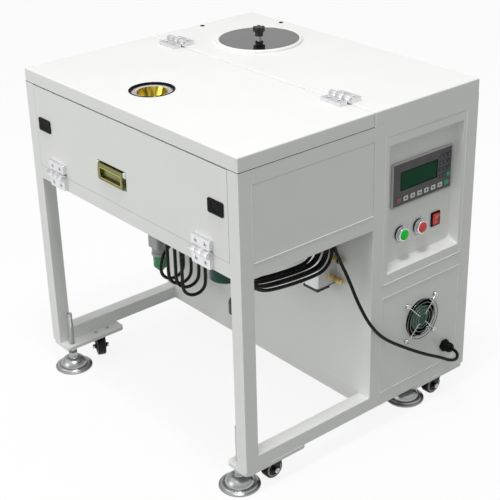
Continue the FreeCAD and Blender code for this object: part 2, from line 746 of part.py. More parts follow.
def cabinet_walls():
    lower = box(-INNER, INNER, WALL_Y, WALL_Y + SHEET, RAIL_TOP, DECK_RAIL_Z)
    upper = box(-INNER, INNER, WALL_Y, WALL_Y + SHEET, DECK_TOP, UPPER_RAIL_Z)
    y1 = BACK - PANEL_INSET
    rear = box(-INNER, INNER, y1 - SHEET, y1, RAIL_TOP, UPPER_RAIL_Z)
    slots = []
    for column in range(LOUVRE_COLUMNS):
        x = (column - (LOUVRE_COLUMNS - 1) / 2) * LOUVRE_COLUMN_PITCH
        for row in range(LOUVRE_ROWS):
            z = UPPER_RAIL_Z - TUBE - row * LOUVRE_PITCH
            slots.append(soft_box(x - LOUVRE_L / 2, x + LOUVRE_L / 2, y1 - SHEET, y1,
                                  z - LOUVRE_H, z, LOUVRE_H / 2 - 0.1, Y_AXIS))
    return Part.makeCompound([lower, upper, rear.cut(slots)])


def deck_plates():
    deck = box(-INNER, INNER, FRONT + TUBE, CAB_FRONT, DECK_TOP - DECK_T, DECK_TOP)
    floor = box(-INNER, INNER, BAY_Y0, BAY_Y1, RAIL_TOP - DECK_T, RAIL_TOP)
    for name, (side, rod_y, _) in foot_places().items():
        if name.startswith("rear"):
            place = V(side * (HALF - FOOT_IN_X), rod_y, RAIL_Z)
            floor = floor.cut(rod(place, place + V(0, 0, TUBE), FLOOR_HOLE_R))
    return Part.makeCompound([deck, floor])


def fan_corners(x):
    half = FAN_PITCH / 2
    return [V(x, BAY_MID_Y + sy * half, FAN_Z + sz * half) for sy in (-1, 1) for sz in (-1, 1)]


def fan_panel():
    panel = folded_panel(1, BAY_Y0, BAY_Y1, RAIL_TOP, MID_RAIL_Z)
    through = V(SHEET, 0, 0)
    start = V(FACE_X - SHEET, BAY_MID_Y, FAN_Z)
    holes = [rod(start, start + through, FAN_DUCT_R)]
    holes += [rod(c, c + through, FAN_SCREW_R) for c in fan_corners(FACE_X - SHEET)]
    gland = V(FACE_X - SHEET, GLAND_Y, GLAND_Z)
    holes.append(rod(gland, gland + through, GLAND_THREAD_R + SHAFT_GAP))
    return panel.cut(holes)


def recess_loft(grow, x_front, x_back):
    """Tapered space of the control recess, grown on every side by a wall."""
    y0, y1 = BAY_MID_Y - RECESS_W / 2, BAY_MID_Y + RECESS_W / 2
    z0, z1 = RECESS_Z0, RECESS_Z1
    draft = RECESS_DRAFT
    front = round_rect(x_front, y0 - grow, y1 + grow, z0 - grow, z1 + grow, RECESS_MOUTH_R + grow)
    back = round_rect(x_back, y0 + draft - grow, y1 - draft + grow, z0 + RECESS_SHELF_RISE - grow,
                      z1 - draft + grow, RECESS_CORNER_R + grow)
    return Part.makeLoft([front, back], True, True)


def control_panel():
    panel = folded_panel(1, BAY_Y0, BAY_Y1, MID_RAIL_TOP, UPPER_RAIL_Z)
    tray = recess_loft(SHEET, FACE_X, FLOOR_X - SHEET)
    panel = panel.fuse(tray).cut(recess_loft(0, FACE_X, FLOOR_X)).removeSplitter()
    back, front = FLOOR_X - SHEET, FLOOR_X
    body_w = HMI_W / 2 - HMI_BODY_MARGIN
    body_h = HMI_H / 2 - HMI_BODY_MARGIN
    cuts = [box(back, front, HMI_Y - body_w, HMI_Y + body_w, HMI_Z - body_h, HMI_Z + body_h)]
    for y in (START_Y, STOP_Y):
        cuts.append(rod(V(back, y, BUTTON_Z), V(front, y, BUTTON_Z), BARREL_TAIL_R))
    cuts.append(box(back, front, ROCKER_Y - ROCKER_BODY_W / 2, ROCKER_Y + ROCKER_BODY_W / 2,
                    BUTTON_Z - ROCKER_BODY_H / 2, BUTTON_Z + ROCKER_BODY_H / 2))
    return panel.cut(cuts)


def hmi_housing():
    """Display unit: bezel with raised keys, and the body behind the panel."""
    face = FLOOR_X + HMI_PROUD
    w, h = HMI_W / 2, HMI_H / 2
    bezel = soft_box(FLOOR_X, face, HMI_Y - w, HMI_Y + w, HMI_Z - h, HMI_Z + h, HMI_CORNER_R, X_AXIS)
    w, h = w - HMI_BODY_MARGIN, h - HMI_BODY_MARGIN
    body = box(FLOOR_X - HMI_BODY_DEPTH, FLOOR_X, HMI_Y - w, HMI_Y + w, HMI_Z - h, HMI_Z + h)
    window = box(face - SCREEN_SINK, face, SCREEN_Y - SCREEN_W / 2, SCREEN_Y + SCREEN_W / 2,
                 SCREEN_Z - SCREEN_H / 2, SCREEN_Z + SCREEN_H / 2)
    pieces = [bezel.fuse(body).cut(window)]
    for i in range(KEY_COUNT):
        y = KEY_MID_Y + (i - (KEY_COUNT - 1) / 2) * KEY_PITCH
        pieces.append(box(face, face + KEY_RISE, y - KEY_W / 2, y + KEY_W / 2,
                          KEY_Z - KEY_H / 2, KEY_Z + KEY_H / 2))
    for column in range(PAD_COLUMNS):
        y = PAD_Y + (column - (PAD_COLUMNS - 1) / 2) * PAD_PITCH_Y
        for row in range(PAD_ROWS):
            z = PAD_Z + (row - (PAD_ROWS - 1) / 2) * PAD_PITCH_Z
            pieces.append(box(face, face + KEY_RISE, y - PAD_W / 2, y + PAD_W / 2,
                              z - PAD_H / 2, z + PAD_H / 2))
    return joined(pieces)


def hmi_screen():
    x0 = FLOOR_X + HMI_PROUD - SCREEN_SINK
    return box(x0, x0 + SCREEN_T, SCREEN_Y - SCREEN_W / 2, SCREEN_Y + SCREEN_W / 2,
               SCREEN_Z - SCREEN_H / 2, SCREEN_Z + SCREEN_H / 2)


def button_collars():
    """Chromed bezel and barrel of each push button, bored for the plunger."""
    collars = []
    inner = CAP_R + SLIDE_GAP
    bore = PLUNGER_R + SHAFT_GAP
    roll = (COLLAR_R - inner) * 0.8
    for y in (START_Y, STOP_Y):
        profile = outline(
            (bore, -BARREL_TAIL), (BARREL_TAIL_R, -BARREL_TAIL), (BARREL_TAIL_R, 0),
            (COLLAR_BASE_R, 0), (COLLAR_BASE_R, COLLAR_BASE_H), (COLLAR_R, COLLAR_BASE_H),
            (COLLAR_R, COLLAR_H - roll), ((COLLAR_R - roll * 0.29, COLLAR_H - roll * 0.29), (COLLAR_R - roll, COLLAR_H)),
            (inner, COLLAR_H), (inner, 1), (bore, 1),
        )
        collars.append(turned(profile, V(FLOOR_X, y, BUTTON_Z), X_AXIS))
    return Part.makeCompound(collars)


def push_button(y):
    """Round coloured cap on a plunger."""
    back = CAP_OUT - CAP_H
    mid_r, mid_drop = cap_mid(CAP_R, CAP_DOME)
    profile = outline(
        (0, back - PLUNGER_L), (PLUNGER_R, back - PLUNGER_L), (PLUNGER_R, back), (CAP_R, back),
        (CAP_R, CAP_OUT - CAP_DOME), ((mid_r, CAP_OUT - mid_drop), (0, CAP_OUT)),
    )
    return turned(profile, V(FLOOR_X, y, BUTTON_Z), X_AXIS)


def rocker_pivot():
    return V(FLOOR_X + ROCKER_FLANGE_T - 3.5, ROCKER_Y, BUTTON_Z)


def rocker_frame():
    """Black frame with a round-bottomed trough for the rocker."""
    w, h = ROCKER_W / 2, ROCKER_H / 2
    flange = soft_box(FLOOR_X, FLOOR_X + ROCKER_FLANGE_T, ROCKER_Y - w, ROCKER_Y + w,
                      BUTTON_Z - h, BUTTON_Z + h, 2, X_AXIS)
    w, h = ROCKER_BODY_W / 2, ROCKER_BODY_H / 2
    body = box(FLOOR_X - ROCKER_BODY_DEPTH, FLOOR_X, ROCKER_Y - w, ROCKER_Y + w, BUTTON_Z - h, BUTTON_Z + h)
    pivot = rocker_pivot()
    side = w - ROCKER_WALL
    trough = rod(pivot - V(0, side, 0), pivot + V(0, side, 0), ROCKER_SWING_R + SLIDE_GAP)
    pins = side + ROCKER_PIN_L
    holes = rod(pivot - V(0, pins, 0), pivot + V(0, pins, 0), ROCKER_PIN_R + SHAFT_GAP)
    reach = ROCKER_SWING_R + ROCKER_MOUTH
    mouth = box(pivot.x, FLOOR_X + ROCKER_FLANGE_T, ROCKER_Y - side, ROCKER_Y + side,
                BUTTON_Z - reach, BUTTON_Z + reach)
    return joined([flange, body]).cut([trough, mouth, holes])


def rocker_paddle():
    """Rocker with a hollowed crown, resting on its lower end, and its two pivot pins."""
    pivot = rocker_pivot()
    side = ROCKER_BODY_W / 2 - ROCKER_WALL - SLIDE_GAP
    r = ROCKER_SWING_R
    low = math.radians(12)
    tip = (r * math.cos(low), ROCKER_CROWN + r * math.sin(low))
    wire = outline(
        (-r * math.cos(low), r * math.sin(low)),
        ((0, -r), (r * math.cos(low), r * math.sin(low))),
        tip, ((0, ROCKER_CROWN), (-tip[0], tip[1])),
    )
    paddle = Part.Face(wire).extrude(V(0, 2 * side, 0))
    paddle.translate(V(0, -side, 0))
    pins = side + ROCKER_PIN_L
    paddle = joined([paddle, rod(V(0, -pins, 0), V(0, pins, 0), ROCKER_PIN_R)])
    paddle.rotate(V(0, 0, 0), Y_AXIS, 90 + ROCKER_TILT)
    paddle.translate(pivot)
    return paddle


def fan_housing():
    """Square fan frame with a round duct, four struts and a bearing."""
    x1 = FACE_X - SHEET
    x0 = x1 - FAN_T
    half = FAN_SIZE / 2
    centre = V(0, BAY_MID_Y, FAN_Z)
    frame = soft_box(x0, x1, BAY_MID_Y - half, BAY_MID_Y + half, FAN_Z - half, FAN_Z + half,
                     FAN_CORNER_R, X_AXIS)
    cuts = [rod(centre + V(x0, 0, 0), centre + V(x1, 0, 0), FAN_DUCT_R)]
    cuts += [rod(c, c + V(FAN_T, 0, 0), FAN_SCREW_R) for c in fan_corners(x0)]
    frame = frame.cut(cuts)
    pieces = [frame, rod(centre + V(x0, 0, 0), centre + V(x0 + FAN_STRUT_T, 0, 0), FAN_HUB_R)]
    for i in range(4):
        strut = box(x0, x0 + FAN_STRUT_T, BAY_MID_Y + FAN_HUB_R - 2, BAY_MID_Y + FAN_DUCT_R + 1,
                    FAN_Z - FAN_STRUT_W / 2, FAN_Z + FAN_STRUT_W / 2)
        strut.rotate(centre, X_AXIS, 45 + 90 * i)
        pieces.append(strut)
    bearing = rod(centre + V(x0, 0, 0), centre + V(x0 + FAN_STRUT_T, 0, 0), FAN_SHAFT_R + SHAFT_GAP)
    return joined(pieces).cut(bearing)


def fan_impeller():
    """Hub with raked blades, trimmed to the duct, on its shaft."""
    x1 = FACE_X - SHEET
    x0 = x1 - FAN_T
    hub_x0, hub_x1 = x0 + FAN_STRUT_T + 1, x1 - 2
    centre = V(0, BAY_MID_Y, FAN_Z)
    tip_r = FAN_DUCT_R - FAN_TIP_GAP
    hub = rod(centre + V(hub_x0, 0, 0), centre + V(hub_x1, 0, 0), FAN_HUB_R)
    sweep = rod(centre + V(hub_x0 + 0.5, 0, 0), centre + V(hub_x1 - 0.5, 0, 0), tip_r)
    pieces = [hub]
    mid_x = (hub_x0 + hub_x1) / 2
    for i in range(FAN_BLADES):
        blade = box(mid_x - FAN_BLADE_T / 2, mid_x + FAN_BLADE_T / 2, BAY_MID_Y - FAN_BLADE_CHORD / 2,
                    BAY_MID_Y + FAN_BLADE_CHORD / 2, FAN_Z + FAN_HUB_R - 3, FAN_Z + tip_r + 5)
        blade.rotate(V(mid_x, BAY_MID_Y, FAN_Z), Z_AXIS, 90 - FAN_BLADE_PITCH)
        blade.rotate(centre, X_AXIS, 360.0 / FAN_BLADES * i)
        pieces.append(blade.common(sweep))
    pieces.append(rod(centre + V(x0, 0, 0), centre + V(hub_x0, 0, 0), FAN_SHAFT_R))
    return joined(pieces)


def fan_guard():
    """Wire guard: rings on four diagonal arms that end in screw eyes."""
    ring_x = FACE_X + GUARD_STAND
    arm_x = ring_x - GUARD_WIRE_R * 1.5
    centre = V(0, BAY_MID_Y, FAN_Z)
    wires = [Part.makeTorus(r, GUARD_WIRE_R, centre + V(ring_x, 0, 0), X_AXIS) for r in GUARD_RINGS]
    for corner in fan_corners(FACE_X + GUARD_WIRE_R):
        out = V(0, corner.y - BAY_MID_Y, corner.z - FAN_Z).normalize()
        inner = centre + V(arm_x, 0, 0) + out * (GUARD_RINGS[0] - GUARD_WIRE_R)
        knee = centre + V(arm_x, 0, 0) + out * (GUARD_RINGS[-1] + GUARD_WIRE_R)
        foot = corner - out * GUARD_EYE_R
        wires += [rod(inner, knee, GUARD_WIRE_R), rod(knee, foot, GUARD_WIRE_R)]
        wires += [Part.makeSphere(GUARD_WIRE_R, knee), Part.makeTorus(GUARD_EYE_R, GUARD_WIRE_R, corner, X_AXIS)]
    return joined(wires)


def cable_gland():
    """Cable gland: hexagon against the panel, domed cap, thread and inner lock nut."""
    place = V(FACE_X, GLAND_Y, GLAND_Z)
    hexagon = prism(6, GLAND_NUT_AF, place, X_AXIS, GLAND_NUT_H)
    dome = outline(
        (0, GLAND_NUT_H), (GLAND_NUT_AF * 0.46, GLAND_NUT_H), (GLAND_NUT_AF * 0.46, GLAND_OUT * 0.6),
        ((GLAND_NUT_AF * 0.41, GLAND_OUT * 0.86), (GLAND_TIP_R, GLAND_OUT)), (0, GLAND_OUT),
    )
    thread = rod(place - V(SHEET + 10, 0, 0), place, GLAND_THREAD_R)
    lock_nut = prism(6, GLAND_NUT_AF, place - V(SHEET + 5, 0, 0), X_AXIS, 5)
    bore = rod(place - V(SHEET + 10, 0, 0), place + V(GLAND_OUT - 4, 0, 0), LEAD_R + SHAFT_GAP)
    return joined([hexagon, turned(dome, place, X_AXIS), thread, lock_nut]).cut(bore)


def arc_mid(start, tangent, end):
    """Middle of the arc that leaves a point along a tangent and ends at another point."""
    chord = end - start
    along = V(chord).normalize()
    rise = tangent - along * tangent.dot(along)
    if rise.Length < 1e-6:
        return None
    half_turn = math.acos(max(-1.0, min(1.0, tangent.dot(along))))
    return start + chord * 0.5 + rise.normalize() * (chord.Length / 2 * math.tan(half_turn / 2))


def biarc(p0, t0, p1, t1):
    """Two arcs that join two points and keep the tangent at both of them."""
    run, both = p1 - p0, t0 + t1
    spread = 2 * (1 - t0.dot(t1))
    lead = run.dot(both)
    if spread < 1e-9:
        reach = run.dot(run) / (2 * lead)
    else:
        reach = (math.sqrt(lead * lead + spread * run.dot(run)) - lead) / spread
    joint = (p0 + t0 * reach + p1 - t1 * reach) * 0.5
    edges = []
    for start, middle, end in ((p0, arc_mid(p0, t0, joint), joint), (joint, arc_mid(p1, t1 * -1, joint), p1)):
        straight = middle is None
        edges.append(Part.LineSegment(start, end).toShape() if straight else Part.Arc(start, middle, end).toShape())
    return edges


def swept_tube(edges, radius, start, tangent):
    circle = Part.Wire([Part.makeCircle(radius, start, tangent)])
    return Part.Wire(edges).makePipeShell([circle], True, False)


def loop_tube(knots, radius, label):
    """One unbroken tube through points with tangents; its gap to itself is measured and printed."""
    edges = []
    for (p0, t0), (p1, t1) in zip(knots, knots[1:]):
        edges += biarc(p0, t0, p1, t1)
    tube = swept_tube(edges, radius, *knots[0])
    step = radius
    points = []
    for edge in edges:
        points += edge.discretize(max(2, int(edge.Length / step) + 1))[:-1]
    length = sum(e.Length for e in edges)
    skip = int(8 * radius / step)
    least = min(p.distanceToPoint(q) for i, p in enumerate(points) for q in points[i + skip::2])
    tightest = min(e.Curve.Radius for e in edges if hasattr(e.Curve, "Radius"))
    solid_length = tube.Volume / (math.pi * radius ** 2)
    print(f"{label}: length {length:.0f}, by volume {solid_length:.0f}, tightest radius {tightest:.1f}, "
          f"least gap to itself {least - 2 * radius:.2f}")
    return tube


def lead_points():
    start = V(FACE_X + GLAND_OUT, GLAND_Y, GLAND_Z)
    return [start] + [V(*p) for p in LEAD_ROUTE]


def power_cable():
    """Straight runs joined by the largest tangent arcs that the runs allow."""
    points = lead_points()
    edges = []
    here = points[0]
    radii = []
    for before, corner, after in zip(points, points[1:], points[2:]):
        back, ahead = before - corner, after - corner
        half_turn = (math.pi - back.getAngle(ahead)) / 2
        trim = 0.45 * min(back.Length, ahead.Length)
        radius = trim / math.tan(half_turn)
        radii.append(radius)
        begin, end = corner + back.normalize() * trim, corner + ahead.normalize() * trim
        edges.append(Part.LineSegment(here, begin).toShape())
        edges.append(Part.Arc(begin, arc_mid(begin, back * -1, end), end).toShape())
        here = end
    edges.append(Part.LineSegment(here, points[-1]).toShape())
    tube = swept_tube(edges, LEAD_R, points[0], points[1] - points[0])
    length = sum(e.Length for e in edges)
    print(f"power cable: length {length:.0f}, by volume {tube.Volume / (math.pi * LEAD_R ** 2):.0f}, radii",
          [round(r) for r in radii])
    return tube


def coil_knots():
    """Turns of the put-away lead, hung on a peg under the deck and stepping inwards."""
    points = lead_points()
    quarter = COIL_PITCH / 4
    knots = [(points[-1], (points[-1] - points[-2]).normalize())]
    x = points[-1].x
    for turn, reach in enumerate(COIL_REACH):
        knots.append((V(x - quarter, COIL_MID_Y, COIL_TOP_Z), V(0, -1, 0)))
        knots.append((V(x - 2 * quarter, COIL_MID_Y - reach, COIL_SIDE_Z), V(0, 0, -1)))
        if turn < len(COIL_BOTTOM_Z):
            knots.append((V(x - 3 * quarter, COIL_MID_Y, COIL_BOTTOM_Z[turn]), V(0, 1, 0)))
            knots.append((V(x - COIL_PITCH, COIL_MID_Y + COIL_REACH[turn + 1], COIL_SIDE_Z), V(0, 0, 1)))
        x -= COIL_PITCH
    end, down = knots[-1]
    knots.append((end + down * COIL_TAIL, down))
    return knots


def power_cable_coil():
    return loop_tube(coil_knots(), LEAD_R, "lead coil")


def power_plug():
    """Round plug with a tapered strain relief and two pins, hanging from the coil's tail."""
    place, _ = coil_knots()[-1]
    body_end = PLUG_TAIL_L + PLUG_L
    body = outline(
        (0, 0), (LEAD_R + 1, 0), (PLUG_TAIL_R, PLUG_TAIL_L), (PLUG_R - 5, PLUG_TAIL_L + 4),
        ((PLUG_R - 1.5, PLUG_TAIL_L + 8), (PLUG_R, PLUG_TAIL_L + 14)), (PLUG_R, body_end), (0, body_end),
    )
    plug = turned(body, place, V(0, 0, -1))
    pins = []
    for side in (-1, 1):
        top = place + V(0, side * PLUG_PIN_PITCH / 2, -body_end)
        pins.append(rod(top + V(0, 0, 1), top - V(0, 0, PLUG_PIN_L), PLUG_PIN_R))
    return joined([plug] + pins)


def cord_hangers():
    """Peg under the deck for the lead, and the bent bar on the cabinet wall for the hose."""
    peg_z = COIL_TOP_Z - LEAD_R - PEG_GAP - PEG_R
    tip_x = coil_knots()[-1][0].x - LEAD_R - PEG_PAST_COIL
    peg = rod(V(INNER, COIL_MID_Y, peg_z), V(tip_x, COIL_MID_Y, peg_z), PEG_R)
    hook = rod(V(tip_x, COIL_MID_Y, peg_z), V(tip_x, COIL_MID_Y, peg_z + PEG_TIP), PEG_R)
    peg = joined([peg, Part.makeSphere(PEG_R, V(tip_x, COIL_MID_Y, peg_z)), hook])
    bar_z = HOSE_TOP_Z - HOSE_R - PEG_GAP - BAR_R
    tops = [knot[0].x for knot in hose_knots() if abs(knot[0].z - HOSE_TOP_Z) < 1e-6]
    x0, x1 = min(tops) - BAR_PAST, max(tops) + BAR_PAST
    bend = 3 * BAR_R
    y0 = HOSE_MID_Y
    slant = bend * (1 - math.sqrt(0.5))
    edges = [
        Part.LineSegment(V(x0, WALL_Y, bar_z), V(x0, y0 + bend, bar_z)).toShape(),
        Part.Arc(V(x0, y0 + bend, bar_z), V(x0 + slant, y0 + slant, bar_z), V(x0 + bend, y0, bar_z)).toShape(),
        Part.LineSegment(V(x0 + bend, y0, bar_z), V(x1 - bend, y0, bar_z)).toShape(),
        Part.Arc(V(x1 - bend, y0, bar_z), V(x1 - slant, y0 + slant, bar_z), V(x1, y0 + bend, bar_z)).toShape(),
        Part.LineSegment(V(x1, y0 + bend, bar_z), V(x1, WALL_Y, bar_z)).toShape(),
    ]
    return Part.makeCompound([peg, swept_tube(edges, BAR_R, V(x0, WALL_Y, bar_z), V(0, -1, 0))])


def filter_head_z():
    return FILTER_BOTTOM_Z + FILTER_BOWL_H


def air_filter():
    """Filter head with its screwed collar, adjusting cap and wall arm."""
    z0 = filter_head_z()
    half = FILTER_HEAD / 2
    head = soft_box(FILTER_X - half, FILTER_X + half, FILTER_Y - half, FILTER_Y + half,
                    z0, z0 + FILTER_HEAD_H, 6, Z_AXIS)
    collar = Part.makeCylinder(FILTER_COLLAR_R, FILTER_COLLAR_H, V(FILTER_X, FILTER_Y, z0 - FILTER_COLLAR_H))
    seat = Part.makeCylinder(FILTER_BOWL_R + SHAFT_GAP, FILTER_COLLAR_H, V(FILTER_X, FILTER_Y, z0 - FILTER_COLLAR_H))
    cap = Part.makeCylinder(FILTER_CAP_R, FILTER_CAP_H, V(FILTER_X, FILTER_Y, z0 + FILTER_HEAD_H))
    arm_z = z0 + (FILTER_HEAD_H - FILTER_ARM_H) / 2
    arm = box(FILTER_X - FILTER_ARM_W / 2, FILTER_X + FILTER_ARM_W / 2, FILTER_Y + half, WALL_Y,
              arm_z, arm_z + FILTER_ARM_H)
    return joined([head, collar.cut(seat), cap, arm])


def air_filter_bowl():
    """Clear bowl with a rounded bottom and a drain nub."""
    r, wall, h = FILTER_BOWL_R, FILTER_BOWL_WALL, FILTER_BOWL_H
    drain, nub = FILTER_DRAIN_H, FILTER_DRAIN_R
    corner = 5.0
    bowl = outline(
        (0, 0), (nub - 1.5, 0), (nub, 1.5), (nub, drain), (r - corner, drain),
        ((r - corner * 0.3, drain + corner * 0.3), (r, drain + corner)), (r, h),
        (r - wall, h), (r - wall, drain + corner), (r - corner, drain + wall), (0, drain + wall),
    )
    return turned(bowl, V(FILTER_X, FILTER_Y, FILTER_BOTTOM_Z))


def hose_start():
    return V(FILTER_X + FILTER_HEAD / 2 + FITTING_L, FILTER_Y, filter_head_z() + FILTER_HEAD_H / 2)


def hose_end():
    return V(HOSE_RISE_X, HOSE_RISE_Y, DECK_TOP - DECK_T - FITTING_L)


def hose_knots():
    """Loops of hose hung over the bar: front side down, bottom, back side up, top."""
    knots = [(hose_start(), V(1, 0, 0))]
    x = HOSE_FIRST_X
    last = len(HOSE_STEPS)
    for turn, bottom in enumerate(HOSE_BOTTOM_Z):
        front_z = HOSE_SIDE_Z if turn else HOSE_DROP_Z
        front = V(x - HOSE_SIDE_DRIFT, HOSE_MID_Y - HOSE_HALF_W, front_z)
        back = V(x + HOSE_SIDE_DRIFT, HOSE_MID_Y + HOSE_HALF_W, HOSE_SIDE_Z)
        knots.append((front, V(0, 0, -1)))
        knots.append((V(x, HOSE_MID_Y, bottom), V(0, 1, 0)))
        knots.append((back, V(0, 0, 1)))
        if turn < last:
            step = HOSE_STEPS[turn]
            knots.append((V(x + step / 2, HOSE_MID_Y, HOSE_TOP_Z), V(0, -1, 0)))
            x += step
    knots.append((hose_end() - V(0, 0, 2 * HOSE_R), V(0, 0, 1)))
    knots.append((hose_end(), V(0, 0, 1)))
    return knots


def air_hose():
    return loop_tube(hose_knots(), HOSE_R, "air hose")


def valve_block():
    """Valve body on a manifold that is screwed to the cabinet wall."""
    x0, x1 = VALVE_X - VALVE_W, VALVE_X
    y1 = VALVE_Y + VALVE_BODY_D
    z0 = VALVE_BOTTOM_Z
    body = box(x0, x1, VALVE_Y, y1, z0 + VALVE_SHOE_H, z0 + VALVE_BODY_H)
    upright = [e for e in body.Edges if e.BoundBox.ZLength > 1]
    body = body.makeChamfer(VALVE_CHAMFER, upright)
    shoe = box(x0 - 1, x1 + 1, VALVE_Y - 1, y1, z0, z0 + VALVE_SHOE_H)
    manifold = box(x0 + 4, x1 - 2, y1 - 0.5, WALL_Y, z0 + 3, z0 + VALVE_MANIFOLD_H)
    coil = box(x0 + 7, x1 - 7, VALVE_Y + 5, y1 - 5, z0 + VALVE_BODY_H, z0 + VALVE_BODY_H + 40)
    return joined([body, shoe, manifold, coil])


def brass_fittings():
    """Two silencers on the valve, and the push-in fittings at both ends of the hose."""
    y = (VALVE_Y + VALVE_BODY_D + WALL_Y) / 2
    mid_r, mid_drop = cap_mid(SILENCER_R, SILENCER_DOME)
    silencer = outline(
        (0, 0), (SILENCER_R + 1.2, 0), (SILENCER_R + 1.2, 5), (SILENCER_R, 5),
        (SILENCER_R, SILENCER_L - SILENCER_DOME), ((mid_r, SILENCER_L - mid_drop), (0, SILENCER_L)),
    )
    pieces = [turned(silencer, V(VALVE_X - 2, y, z), X_AXIS) for z in SILENCER_Z]
    pieces.append(rod(hose_start() - V(FITTING_L, 0, 0), hose_start(), FITTING_R))
    pieces.append(rod(hose_end(), hose_end() + V(0, 0, FITTING_L), FITTING_R))
    return Part.makeCompound(pieces)


def air_reservoir():
    """Small domed air tank bolted under the deck."""
    h = DECK_TOP - DECK_T - TANK_BOTTOM_Z
    tank = outline(
        (0, 0), (cap_mid(TANK_R, TANK_DOME_H), (TANK_R, TANK_DOME_H)), (TANK_R, h - TANK_FLANGE_T),
        (TANK_FLANGE_R, h - TANK_FLANGE_T), (TANK_FLANGE_R, h), (0, h),
    )
    return turned(tank, V(TANK_X, TANK_Y, TANK_BOTTOM_Z))


def power_supply():
    """Cased supply on the cabinet floor, with its open terminal step."""
    lx, ly, lz = SUPPLY_SIZE
    x0, y0 = SUPPLY_X - lx / 2, BAY_MID_Y - ly / 2
    case = box(x0, x0 + lx, y0, y0 + ly, RAIL_TOP, RAIL_TOP + lz)
    step = box(x0, x0 + SUPPLY_TERMINAL, y0, y0 + ly, RAIL_TOP + lz / 2, RAIL_TOP + lz)
    return case.cut(step)


def controller_module():
    """Controller with stepped terminal rows, fixed to the inside of the back panel."""
    lx, ly, lz = CONTROLLER_SIZE
    x0, y1 = CONTROLLER_X - lx / 2, BACK - PANEL_INSET - SHEET
    z0 = CONTROLLER_Z
    body = box(x0, x0 + lx, y1 - ly, y1, z0, z0 + lz)
    s = CONTROLLER_STEP
    steps = [box(x0, x0 + lx, y1 - ly, y1 - ly + s, z, z + s) for z in (z0, z0 + lz - s)]
    return body.cut(steps)


def reflector_trim():
    """Black lining of the heat port, with a thin lip on the lid."""
    sleeve = PORT_HOLE_R - SHAFT_GAP
    inner = PORT_HOLE_R - TRIM_SLEEVE
    ring = outline(
        (inner, -COVER_T / 2), (sleeve, -COVER_T / 2), (sleeve, 0), (TRIM_R, 0),
        ((TRIM_R - 0.2, TRIM_H * 0.7), (TRIM_R - 0.7, TRIM_H)), (inner, TRIM_H),
    )
    return turned(ring, V(PORT_X, PORT_Y, HEIGHT))


def reflector_ring():
    """Crowned silver ring sunk between the lining and the reflector."""
    outer = PORT_HOLE_R - TRIM_SLEEVE - SHAFT_GAP
    inner = CONE_TOP_R + SHAFT_GAP
    middle = (outer + inner) / 2
    ring = outline(
        (inner, -RING_T), (outer, -RING_T), (outer, 0), ((middle, RING_CROWN), (inner, 0)),
    )
    return turned(ring, PORT_RIM)


def heat_reflector():
    """Polished cone that narrows to an open throat."""
    wall = CONE_WALL
    drop = -CONE_DEPTH
    r, throat = CONE_TOP_R, CONE_THROAT_R
    bow = 2.5
    mid_r, mid_z = (r + throat) / 2 + bow, drop / 2
    cone = outline(
        (r, -1), (r, 1), (r - wall, 1), ((mid_r - wall, mid_z), (throat, drop)),
        (throat, drop - THROAT_L), (throat + wall, drop - THROAT_L), (throat + wall, drop),
        ((mid_r + wall * 0.4, mid_z - wall * 0.5), (r, -1)),
    )
    return turned(cone, PORT_RIM)


def heater_lamp():
    """Emitter in the throat of the reflector: ceramic base and round-topped bulb."""
    low = -CONE_DEPTH - THROAT_L
    bulb_top = -CONE_DEPTH + LAMP_RISE
    base_r = CONE_THROAT_R - SHAFT_GAP
    mid_r, mid_drop = cap_mid(LAMP_R, LAMP_R)
    lamp = outline(
        (0, low - 12), (base_r - 2, low - 12), (base_r - 2, low), (base_r, low),
        (base_r, low + 5), (LAMP_R, low + 5), (LAMP_R, bulb_top - LAMP_R),
        ((mid_r, bulb_top - mid_drop), (0, bulb_top)),
    )
    return turned(lamp, PORT_RIM)


def hatch_top():
    return HATCH_RIM_H - 1.5


def hatch_cover():
    """Polished lid with a rolled rim, a locating spigot and a hole for the knob's stud."""
    bore = KNOB_PIN_R + SHAFT_GAP
    crown = HATCH_R - HATCH_RIM_W / 2
    flat_r = HATCH_R - HATCH_RIM_W
    top = hatch_top()
    spigot_r = HATCH_HOLE_R - SLIDE_GAP
    lid = outline(
        (bore, top - SHEET), (spigot_r - SHEET, top - SHEET), (spigot_r - SHEET, -HATCH_SPIGOT_H),
        (spigot_r, -HATCH_SPIGOT_H), (spigot_r, 0), (HATCH_R, 0), (HATCH_R, 1.5),
        ((crown, HATCH_RIM_H), (flat_r, top)), (bore, top),
    )
    return turned(lid, V(HATCH_X, HATCH_Y, HEIGHT))


def star_knob():
    """Lobed knob on a stem, with a stud through the hatch."""
    base = HEIGHT + hatch_top()
    centre = V(HATCH_X, HATCH_Y, base)
    lobe_at = KNOB_R - KNOB_LOBE_R
    head = KNOB_STEM_H + KNOB_HUB_H
    grip = [Part.makeCylinder(lobe_at, KNOB_H, centre + V(0, 0, head))]
    for i in range(KNOB_LOBES):
        turn = 2 * math.pi * i / KNOB_LOBES
        at = centre + V(lobe_at * math.cos(turn), lobe_at * math.sin(turn), head)
        grip.append(Part.makeCylinder(KNOB_LOBE_R, KNOB_H, at))
    grip = joined(grip)
    top = base + head + KNOB_H
    grip = grip.makeFillet(2.0, [e for e in grip.Edges if e.BoundBox.ZMin > top - 0.01])
    hub = Part.makeCone(KNOB_HUB_R, lobe_at - 0.5, KNOB_HUB_H, centre + V(0, 0, KNOB_STEM_H))
    stem = Part.makeCylinder(KNOB_STEM_R, KNOB_STEM_H, centre + V(0, 0, SHAFT_GAP))
    stud = rod(centre - V(0, 0, SHEET), centre + V(0, 0, KNOB_STEM_H), KNOB_PIN_R)
    return joined([grip, hub, stem, stud])


def pocket_box(grow):
    return (PULL_X - POCKET_W / 2 - grow, PULL_X + POCKET_W / 2 + grow,
            PULL_Z - POCKET_H / 2 - grow, PULL_Z + POCKET_H / 2 + grow)


